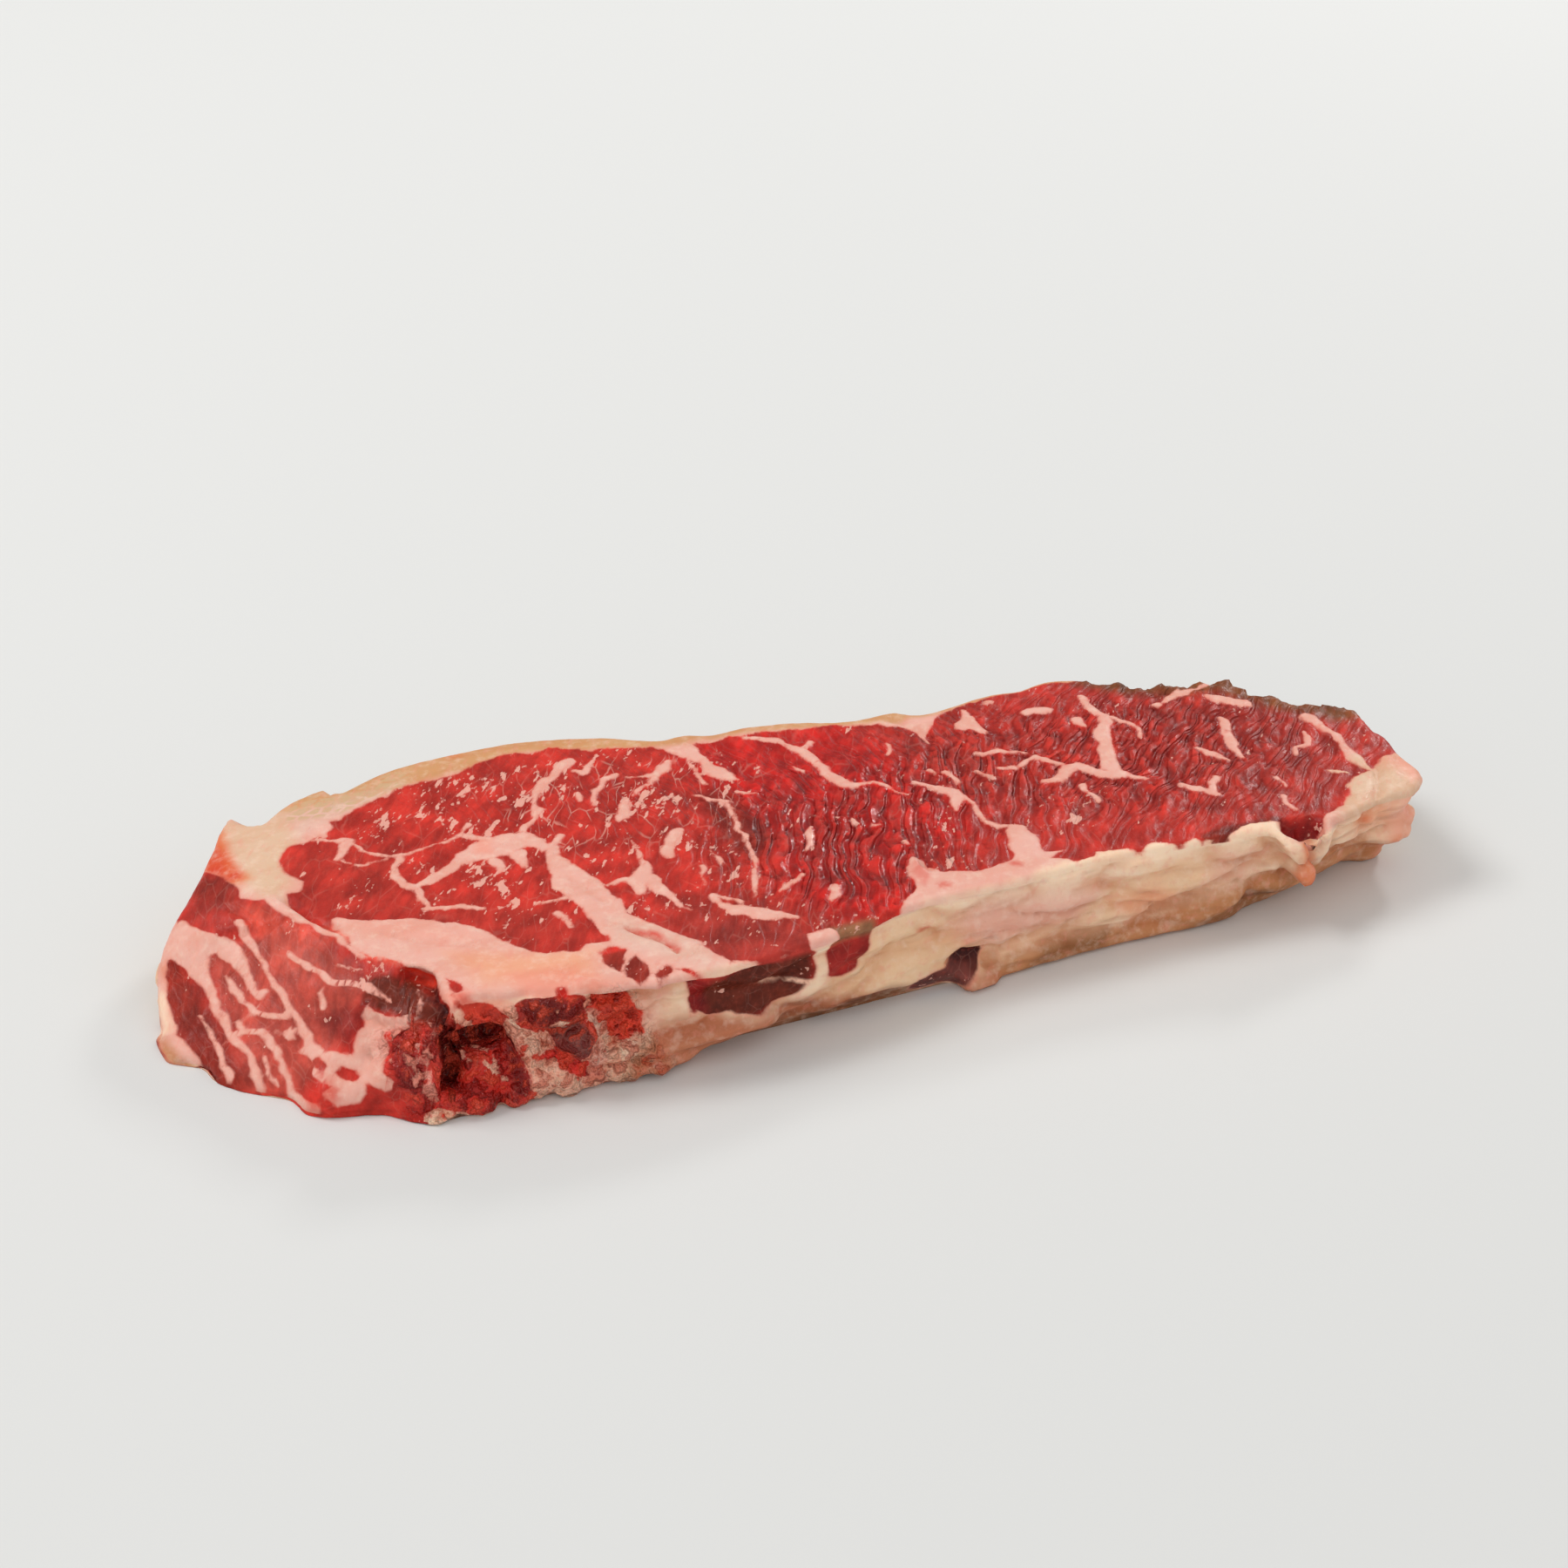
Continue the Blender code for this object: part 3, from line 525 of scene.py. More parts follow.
RED = paint(192, 48, 38)
BRIGHT = paint(206, 36, 26)
WET_RED = paint(204, 30, 26)
WINE = paint(128, 22, 22)
# deep red-brown: the colour of a clot, and also painted shade inside the cleft, the cavity and the slit
DARK_CLOT_AND_SHADE = paint(56, 12, 10)
BROWN = paint(98, 36, 22)
GREY_BROWN = paint(142, 96, 66)
SALMON = paint(226, 92, 72)
DULL_RED = paint(176, 50, 40)
PURPLE = paint(110, 56, 50)
PINK_FAT = paint(234, 176, 160)
WARM_PINK = paint(240, 150, 128)
CREAM = paint(248, 217, 187)
BUTTER = paint(234, 190, 144)
TAN = paint(190, 122, 72)
UMBER = paint(126, 80, 46)
ORANGE = paint(226, 118, 66)
BLOOD = paint(216, 62, 42)
PEACH = paint(238, 166, 128)
GREY_FAT = paint(222, 196, 178)
DUSTY = paint(186, 80, 66)
HAM = paint(190, 116, 82)
HONEY = paint(210, 154, 106)
IVORY = paint(224, 186, 156)

LEAN_PATCHES = [
    (WET_RED, 6, 0.8, [(-14, 26), (-10, 38), (26, 34), (34, 12), (40, -20), (20, -24), (14, -40),
                       (4, -44), (-6, -38), (-9, -24), (-5, -8), (-8, 8)]),
    (DULL_RED, 7, 0.75, [(92, 30), (138, 6), (140, -20), (110, -40), (84, -38), (88, -20), (96, 0)]),
    (DULL_RED, 5, 0.7, [(-104, 22), (-88, 20), (-80, 12), (-82, -2), (-74, -10), (-56, -16),
                        (-52, -33), (-66, -30), (-84, -12), (-100, -8), (-106, 4)]),
    (DULL_RED, 4, 0.9, [(-34, -22), (-18, -24), (-6, -38), (-9, -50), (-34, -51)]),
    (PURPLE, 3, 0.25, [(-30, -30), (-14, -38), (-9, -46), (-10, -51), (-33, -51)]),
    (GREY_BROWN, 1.2, 1, [(-6, -44), (4, -44), (5, -49), (-5, -51)]),
    (BROWN, 2, 0.6, [(-14, 16), (-6, 14), (-4, -6), (-10, -14), (-14, -8)]),
    (BROWN, 0.8, 0.6, [(-52, -38), (-46, -38), (-38, -46), (-39, -51), (-46, -52), (-53, -44)]),
    (BROWN, 0.7, 0.7, [(80, -36.5), (100, -35), (98, -40), (80, -41)]),
    (WINE, 1.0, 1, [(98, -37), (108, -38), (108, -42), (98, -42)]),
    (UMBER, 3.0, 0.9, [(84, 33), (88, 29), (94, 25), (104, 21), (112, 19), (117, 12), (121, 7),
                       (128, 2), (132, -3), (142, -3), (142, 8), (120, 40), (84, 40)]),
    # tail
    (BROWN, 2.5, 0.6, [(-137, -8), (-130, -12), (-128, -30), (-125, -56), (-128, -62), (-140, -50)]),
    (BROWN, 2.0, 0.5, [(-120, 18), (-113, 15), (-114, 6), (-118, 4), (-124, 8), (-124, 14)]),
    (DULL_RED, 2, 0.8, [(-124, 12), (-116, 4), (-114, -2), (-118, -6), (-127, 0)]),
    (SALMON, 3, 0.6, [(-116, 5), (-109, 4), (-106, -4), (-100, -14), (-103, -22), (-110, -26),
                      (-113, -14), (-115, -4)]),
    (DUSTY, 3, 0.75, [(-126, -10), (-112, -8), (-100, -22), (-97, -34), (-108, -52), (-118, -64),
                      (-126, -60)]),
    (SALMON, 1.6, 1, [(-100, -8), (-96, -11), (-92, -15), (-90, -20), (-88, -25), (-86, -30),
                      (-90, -28), (-94, -24.5), (-96, -21), (-99, -15)]),
    (BROWN, 1.2, 0.95, [(-97, -30), (-92, -31), (-88, -36), (-86.5, -48), (-88, -58), (-92, -50),
                        (-94, -46.5), (-97, -43), (-100, -39), (-98.5, -35)]),
    (WINE, 2.0, 0.6, [(-110, -40), (-98, -38), (-101, -46), (-106, -54)]),
    (BLOOD, 0.8, 0.9, [(-89, -29.5), (-85.5, -30), (-85, -36), (-87, -38)]),
    (RED, 1.5, 1, [(-98, -49), (-90.5, -50), (-88, -60), (-90, -68), (-97, -72), (-100, -64)]),
    (WINE, 1.2, 0.8, [(-98.5, -56), (-94, -54), (-93.5, -64), (-96, -72), (-99.5, -68)]),
    # painted shade: the dark inside the cleft of the torn corner
    (DARK_CLOT_AND_SHADE, 1.0, 0.95, [(-87.2, -35), (-85, -35), (-84.8, -45), (-85.5, -56), (-86.8, -65), (-90, -71),
                       (-91, -69), (-89, -62), (-88, -52)]),
    (BRIGHT, 1.2, 0.95, [(-92, -71), (-86, -68), (-80, -62), (-76.5, -58), (-77, -68), (-82, -77),
                         (-90, -79)]),
    # painted shade: the dark inside the small cavity beside the cleft
    (DARK_CLOT_AND_SHADE, 0.9, 0.95, [(-85, -55), (-82, -54), (-79, -55), (-79, -59), (-83, -60)]),
    (WINE, 0.9, 0.9, [(-77.5, -58), (-75.6, -60), (-77, -78), (-80.5, -79)]),
    (BRIGHT, 0.8, 0.9, [(-73.5, -67), (-68.5, -67), (-65, -73), (-64, -77), (-67, -76), (-70, -71)]),
    (PURPLE, 1.0, 1, [(-68.5, -58), (-62, -59), (-61, -66), (-63, -71), (-67, -70), (-69, -64)]),
    # a dark clot, its own colour
    (DARK_CLOT_AND_SHADE, 1.6, 0.7, [(-72, -47), (-62, -46.5), (-60, -52), (-61, -58), (-68, -58.5), (-72, -55)]),
    (BRIGHT, 1.5, 0.8, [(-66, -45), (-59, -45), (-57, -50), (-62, -53)]),
    (BLOOD, 1.5, 1, [(-59, -51), (-50, -51), (-49.5, -62), (-52, -69), (-59, -70)]),
    (BLOOD, 1.5, 0.9, [(-84, -40), (-76, -45), (-73, -50), (-78, -54), (-84, -53)]),
    (BRIGHT, 2.0, 0.7, [(-99, -74), (-94, -73), (-92, -80), (-97, -83), (-103, -79)]),
    (WINE, 1.5, 0.8, [(-39, -54), (-35, -51.5), (-33.5, -58), (-33, -64), (-38, -66.5), (-41, -62)]),
]
FAT_PATCHES = [
    # seams between the muscles are pinker than the outside
    (CREAM, 2, 1, [(-34, -70), (-34, -50.5), (-11, -51), (-3, -50), (12, -43), (24, -40), (50, -37),
                   (60, -34), (98, -33), (98, -70)]),
    (IVORY, 3, 1, [(-112, 36), (-98, 37), (-99, 22), (-106, 4), (-110, 6), (-114, 14), (-112, 20)]),
    (WARM_PINK, 3, 0.25, [(-98, -8), (-82, -13), (-74, -20), (-72, -26), (-80, -24), (-90, -17)]),
    (PEACH, 4, 0.75, [(-80, -27), (-64, -33), (-52, -36), (-56, -46), (-76, -40)]),
    (GREY_FAT, 3, 0.45, [(-46, -26), (-39, -30), (-31, -44), (-32, -52), (-48, -34)]),
    (IVORY, 3.0, 1, [(117, -22), (141, -14), (141, -40), (112, -42)]),
    (WARM_PINK, 3.0, 0.6, [(131, -20), (141, -20), (141, -32), (133, -32)]),
    (PINK_FAT, 1.5, 1, [(16, -34), (22, -24), (24, -33), (38, -34.5), (42, -22), (48, -22), (50, -35),
                        (40, -40), (24, -41), (16, -40)]),
    (BLOOD, 1.2, 0.5, [(17.5, -30), (20, -27), (21, -33), (18, -36)]),
    (BLOOD, 0.8, 0.7, [(21, -36.5), (23.2, -36.5), (23, -38.5), (21, -38.5)]),
    (BLOOD, 0.8, 0.7, [(38, -33.5), (40, -33.5), (40, -36), (38, -35.5)]),
    (WARM_PINK, 1.5, 0.6, [(-63, 13), (-60, 12), (-62, 6), (-65, 8)]),
    (BLOOD, 1.2, 0.6, [(83, 13), (86, 12.5), (86, 10), (83.5, 10)]),
    (BLOOD, 1.4, 0.45, [(107, 17.5), (110, 17), (109, 14), (106.5, 15)]),
    (BLOOD, 0.8, 0.9, [(-45, -29), (-42, -33), (-39.5, -36), (-37, -42), (-36, -41.5), (-38.5, -34.5),
                       (-42, -31)]),
    # back rim
    (HONEY, 1.6, 1, [(-104, 38), (-88, 36), (-76, 38.5), (-60, 41), (-44, 45), (-27, 40.5), (-15, 37),
                     (6, 36), (17, 34.5), (39, 30.5), (48, 30.5), (70, 33.5), (84, 34), (84, 60),
                     (-104, 60)]),
    (ORANGE, 1.2, 0.5, [(-60, 50), (-57, 50), (-57, 47.5), (-60, 47.5)]),
    (GREY_FAT, 3, 0.5, [(-98, 36), (-84, 40), (-72, 42), (-73, 38.5), (-86, 33), (-98, 27)]),
    # creamy corner of the tail
    (ORANGE, 1.6, 1, [(-115, 37), (-112, 36), (-112.5, 26), (-113, 20), (-111, 14), (-115, 12),
                      (-121, 20), (-117.5, 30)]),
    (BLOOD, 2.0, 0.7, [(-117.5, 30), (-114.5, 30), (-113.5, 18), (-119.5, 18)]),
    (BLOOD, 1.4, 0.6, [(-119, 21), (-116, 20), (-113, 15), (-115, 14), (-119, 18)]),
    (BLOOD, 0.9, 0.7, [(-114.5, 17.5), (-112.5, 17), (-113, 15), (-115, 15.5)]),
    (IVORY, 2.5, 0.9, [(-113, 38), (-99, 38), (-104, 20), (-111, 18)]),
    (PINK_FAT, 2, 0.8, [(-130, 0), (-119, -6), (-118, -30), (-124, -60), (-127, -40), (-130, -14)]),
    (ORANGE, 1.0, 0.5, [(-134.4, -12), (-132.8, -12), (-133, -35), (-134.6, -35)]),
    (TAN, 1.2, 0.9, [(-140, -36), (-137.6, -36), (-136, -44), (-133.5, -50), (-137, -52), (-141, -46)]),
    (CREAM, 1.5, 0.8, [(-138, -20), (-134.5, -22), (-136, -36), (-139, -36)]),
    (PINK_FAT, 1.5, 1, [(-114, -48), (-100, -40), (-91, -46), (-91, -50), (-98, -50), (-99, -66),
                        (-112, -68)]),
    (BLOOD, 1.2, 0.8, [(-116, -63.5), (-111.5, -63), (-110, -67), (-114, -71), (-117, -68)]),
    (ORANGE, 1.0, 0.5, [(-96, -78), (-93, -78), (-92, -81), (-97, -82)]),
    (WARM_PINK, 2.0, 0.7, [(-84, -40), (-72, -46), (-76, -56), (-84, -52)]),
    (BLOOD, 1.0, 0.6, [(-82, -40), (-79, -44), (-80, -52), (-83, -50)]),
    (GREY_FAT, 1.2, 0.7, [(-59.5, -56), (-56, -56), (-60, -70), (-63, -77), (-65.5, -75)]),
    (BLOOD, 1.6, 0.85, [(-57.5, -54), (-50.5, -55), (-51, -64), (-57, -67)]),
    (ORANGE, 3.0, 0.5, [(-60, -68), (-50, -66), (-40, -70), (-44, -78), (-60, -82)]),
    (BLOOD, 2.5, 0.35, [(-79, -60), (-72, -58), (-66, -60), (-60, -70), (-62, -82), (-80, -82)]),
    (BLOOD, 2.0, 0.5, [(-60, -55), (-49, -54), (-46, -70), (-58, -76)]),
    (WARM_PINK, 2.5, 0.6, [(-72, -38), (-58, -40), (-52, -50), (-60, -50), (-70, -46)]),
    (ORANGE, 2.5, 0.5, [(-52, -54), (-42, -54), (-38, -62), (-46, -72)]),
    (PINK_FAT, 1.0, 0.8, [(-49.5, -56), (-45, -56), (-50, -69), (-55, -70)]),
]
# The same for the cut side of the fat cap: along the steak, and height over the table
SIDE_FAT_PATCHES = [
    (CREAM, 4, 1, [(-54, -2), (-54, 25), (150, 25), (150, -2)]),
    (WARM_PINK, 2.0, 0.3, [(16, 13), (24, 15), (40, 13), (46, 10), (30, 9)]),
    (BUTTER, 5, 0.6, [(-8, 6), (-4, 20), (10, 21), (40, 12), (70, 18), (95, 20), (95, 14), (60, 8),
                      (30, 3), (0, 2)]),
    (PINK_FAT, 4, 0.8, [(22, 16), (30, 20), (58, 17), (52, 9), (30, 8)]),
    (PINK_FAT, 3, 0.5, [(84, 20), (96, 18), (92, 10), (78, 12)]),
    (PEACH, 2.5, 0.75, [(58, 12), (70, 15), (76, 10), (66, 6)]),
    (TAN, 1.6, 0.9, [(30, -2), (30, 4.2), (44, 5.4), (60, 5), (76, 7.5), (92, 9.5), (104, 12),
                     (122, 11), (140, 3), (140, -2)]),
    # painted shade: umber along the foot of the cap and under the flap, where the wall tucks under
    (UMBER, 1.6, 0.7, [(40, 1), (58, 1.5), (60, 5), (44, 4.6)]),
    (UMBER, 1.4, 0.7, [(78, 0), (98, 1), (104, 7), (90, 6)]),
    (HAM, 2.6, 0.95, [(-54, -1), (-48, 8), (-40, 13), (-33, 13), (-24, 9), (-14, 9), (-8, 7), (0, 6),
                      (10, 4), (14, -1)]),
    (PINK_FAT, 2.0, 0.6, [(-50, 20), (-41, 20), (-44, 10), (-50, 9)]),
    # painted shadow: umber along the foot under the front of the cap, for the contact shadow there
    (UMBER, 2.0, 0.55, [(-34, -1), (-30, 3), (-16, 4), (-4, 4), (10, 3), (12, -1)]),
    (UMBER, 1.6, 0.8, [(-14, -1), (-10, 2.4), (4, 3), (22, 3.4), (22, -1)]),
    (BLOOD, 0.8, 0.8, [(14.5, 15.7), (17.5, 16), (17.5, 17.2), (14.5, 17.2)]),
    (WARM_PINK, 1.0, 0.6, [(25, 10.5), (27, 10.5), (27, 12), (25, 12)]),
    (ORANGE, 1.0, 0.85, [(100, 22), (103.5, 21), (107, 13), (104.5, 9), (101, 12)]),
    (BLOOD, 0.9, 0.7, [(102.6, 21), (104.4, 19), (106.4, 12), (104.6, 11)]),
    (PEACH, 3.0, 0.8, [(117, 23), (128, 24), (129, 14), (119, 14)]),
    (WARM_PINK, 3.0, 0.6, [(128, 24), (140, 24), (140, 1), (130, 1)]),
    (ORANGE, 1.0, 0.7, [(120, 19), (122, 19), (122, 17), (120, 17)]),
    (ORANGE, 1.0, 0.7, [(130, 10), (132, 10), (132, 8), (130, 8)]),
    (HAM, 1.4, 0.8, [(24, 3), (33, 3.5), (33, -3), (24, -3)]),
]
SIDE_LEAN = [
    [(-38, 24), (-10.5, 24), (-10, 14), (-14, 11), (-22, 9), (-27, 11), (-32, 14), (-37, 13)],
    [(-6.5, 24), (4, 24), (3, 18), (0, 13), (-4, 11.5), (-7, 13), (-7, 17)],
    [(13, 1), (24, 1), (28, 4), (31, 7.2), (26, 7.5), (20, 5.6), (15, 5)],
    [(98.5, 24), (107.5, 24), (106.5, 21), (102, 20.5)],
]
SIDE_LEAN_PATCHES = [
    (BROWN, 1.5, 1, [(-34, 22), (-11, 22), (-10, 9), (-34, 9)]),
    (DULL_RED, 1.0, 0.4, [(-34, 24), (-11, 24), (-11, 21.5), (-34, 21.5)]),
    (WINE, 1.5, 0.8, [(-40, 23), (-34, 23), (-33, 12), (-39, 13)]),
    (WINE, 1.5, 0.6, [(-9, 20), (4, 20), (3, 9), (-9, 9)]),
    (GREY_BROWN, 1.0, 0.9, [(-7, 24), (5, 24), (4, 20.5), (-7, 20.5)]),
    (PURPLE, 1.5, 1, [(10, 0), (34, 0), (34, 9), (10, 9)]),
    # painted shade: the dark inside the slit in the cap
    (DARK_CLOT_AND_SHADE, 0.8, 1, [(24, 5.4), (31, 5.4), (31, 8), (24, 8)]),
    (WINE, 1.5, 1, [(97, 24), (109, 24), (109, 19), (97, 19)]),
]
SIDE_VEINS = [
    [(-25, 15.5, .3), (-17, 14.6, .4), (-13, 13.5, .8), (-10, 13, 1)],
]
# Lean strips and lumps of the torn corner, drawn like the veins
TORN_LEAN = [
    [(-98.5, -50), (-95, -49.5), (-91, -50.5), (-88, -36), (-85.8, -33), (-84.6, -40), (-84.6, -50),
     (-83.5, -54), (-80, -54.5), (-77, -57), (-75, -61), (-76.5, -70), (-77.5, -79), (-85, -81.5),
     (-92, -80.5), (-96, -79), (-101, -78), (-100.5, -70), (-99.5, -60)],
    [(-73.5, -56), (-72.5, -50), (-70, -47), (-66, -48), (-62, -46.5), (-59.5, -50), (-59, -55),
     (-61.5, -59), (-66, -57.5), (-70, -59.5)],
    [(-58.5, -53), (-55, -51.5), (-51.5, -54), (-50.5, -60), (-52.5, -66), (-57, -68), (-57.5, -61)],
    [(-83, -42), (-80, -46), (-76.5, -47.5), (-75, -51), (-77, -56), (-82, -54.5)],
    [(-68.5, -59), (-62, -59.5), (-60.5, -63), (-62.5, -71), (-67, -71), (-69.5, -66)],
    [(-73.5, -67), (-68.5, -67), (-64.5, -73), (-63.5, -77.5), (-66, -78), (-70, -72)],
    [(-39, -54), (-35, -51.5), (-33.5, -58), (-33, -64), (-38, -66.5), (-41, -62)],
    [(-82.5, -36), (-80.5, -38), (-80, -41), (-82, -41)],
    [(-120, -70), (-113, -71), (-103, -76), (-100, -79), (-106, -84), (-122, -80)],
]
TORN_VEINS = [
    [(-97.5, -50, .8), (-95.5, -57, .8), (-96, -66, .7)],
    [(-94.5, -52, .5), (-92, -62, .5)],
    [(-99, -60, .8), (-94, -63, .6), (-91, -66, .6)],
    [(-97, -70, .8), (-93.5, -75, 1)],
    [(-75, -60, 1.4), (-75.3, -68, 1.6), (-76.5, -78, 1.6)],
    [(-84, -58, .5), (-81, -66, .7), (-84, -73, .5)],
    [(-71, -71, 3.2), (-71, -76, 3)],
    [(-88, -61, 1.0), (-84, -65, 1.5), (-81.5, -73, 1.3)],
    [(-92.5, -56, 1), (-93.5, -64, 1.3), (-95, -72, 1.6)],
    [(-96, -79, 2.6), (-93, -79.5, 2.6)],
    [(-58, -57, 1.6), (-60, -63, 1.6), (-63, -70, 1.6), (-64.5, -75, 1.2)],
    [(-89, -38, .3), (-90, -46, .4), (-89.5, -54, .4)],
    [(-69, -52, .5), (-65, -54, .4)],
]

# Where each place lies in the drawings: along the line of sight, or on the side of the fat cap
facing = np.zeros(len(verts), bool)
facing[slab_face] = True
toward = np.array([VIEW_POINT[0], VIEW_POINT[1]]) / math.hypot(VIEW_POINT[0], VIEW_POINT[1])
column = np.tile(np.arange(count), WALL_RINGS)
wall_place = np.arange(first_ring, first_ring + WALL_RINGS * count)
facing[wall_place] = rim_out[column] @ toward > 0.02
wall_side = np.zeros(len(verts), bool)
wall_side[wall_place] = facing[wall_place] & (verts[wall_place, 0] > -52)
seen = np.full((len(verts), 2), 999.0)
seen[facing] = as_seen(verts[facing])
seen[slab_face] = as_seen(face_base)
seen[under] = wobbled(verts[under, :2] * 0.985, 3.0, 30, 31)
ragged_seen = wobbled(seen, 0.7, 3.0, 21)
side = np.full((len(verts), 2), 999.0)
side[wall_side] = wobbled(verts[wall_side][:, [0, 2]], 0.6, 3.5, 25)

# Millimetres inside the fat at each place, negative in the lean
depth = np.full(len(verts), 2.5)
plain = slab_face | under
depth[plain] = fat_depth(seen[plain])
foot_gap = to_line(verts[under, :2], np.vstack([foot, foot[:1]]))
depth[under] = np.maximum(depth[under], 5 - foot_gap + 2 * lumps(verts[under], 9, 64))
behind = wall & ~wall_side
crust = ramp(verts[:, 0] - 88 + 9 * lumps(verts, 6, 65), 0, 4)
crust *= ramp(verts[:, 1] + 3 + 7 * lumps(verts, 5, 66), 0, 4) * behind
depth[behind] -= 5 * crust[behind]
corner = facing & (seen[:, 0] < -30) & ~under
for outline in TORN_LEAN:
    depth[corner] = np.minimum(depth[corner], -signed_depth(ragged_seen[corner], outline))
tail_wall = corner & wall & (seen[:, 0] < -98)
depth[tail_wall] = fat_depth(seen[tail_wall])
depth[corner] = np.maximum(depth[corner], vein_depth(ragged_seen[corner], TORN_VEINS))
for outline in SIDE_LEAN:
    depth[wall_side] = np.minimum(depth[wall_side], -signed_depth(side[wall_side], outline))
depth[wall_side] = np.maximum(depth[wall_side], vein_depth(side[wall_side], SIDE_VEINS))


def painted(patches, spots, tint):
    """Colours with soft patches laid over them, where spots lie inside the outlines."""
    for colour, soft, strength, outline in patches:
        share = np.clip(signed_depth(spots, outline) / soft * 0.5 + 0.5, 0, 1)
        share = (share * share * (3 - 2 * share) * strength)[:, None]
        tint = tint * (1 - share) + colour * share
    return tint


# the meat's own colours, and the painted shade in the cleft, cavity, slit, folds and along the foot
lean_colour_and_shade = np.tile(RED, (len(verts), 1))
fat_colour_and_shade = np.tile(PINK_FAT, (len(verts), 1))
fat_colour_and_shade[wall] = CREAM
back_wall = wall & ~facing
aged = np.clip(0.5 + lumps(verts, 12, 67), 0, 1)[:, None]
fat_colour_and_shade[back_wall] = (BUTTER * aged + CREAM * (1 - aged))[back_wall]
lean_colour_and_shade[back_wall] = (UMBER * aged + BROWN * (1 - aged))[back_wall]
fat_colour_and_shade[under] = np.where(foot_gap[:, None] < 6, TAN, CREAM)
lean_colour_and_shade = painted(LEAN_PATCHES, ragged_seen, lean_colour_and_shade)
fat_colour_and_shade = painted(FAT_PATCHES, ragged_seen, fat_colour_and_shade)
fat_colour_and_shade = painted(SIDE_FAT_PATCHES, side, fat_colour_and_shade)
lean_colour_and_shade = painted(SIDE_LEAN_PATCHES, side, lean_colour_and_shade)

# The relief of the meat
# Fat stands a little proud of the lean, and the lean draws into wrinkles along its grain.
# A groove or ridge is a line of points with its half width and its height.
FAT_PROUD = 0.22
TORN_LUMPS = 1.5
TORN_SHREDS = 0.7
FOLD_SIZE = 6.4
FOLD_HEIGHT = 1.9
SMALL_FOLD_SIZE = 2.0
SMALL_FOLD_HEIGHT = 0.12
CRUST_HEIGHT = 0.9
CRUST_GRIT = 0.6
GRAIN_TURN = -68
GRAIN_LENGTH = 4.6
FOLD_LENGTH = 0.34
# how much painted shade takes off each channel of the fat in folds and grooves
FOLD_SHADE = [0.22, 0.42, 0.52]

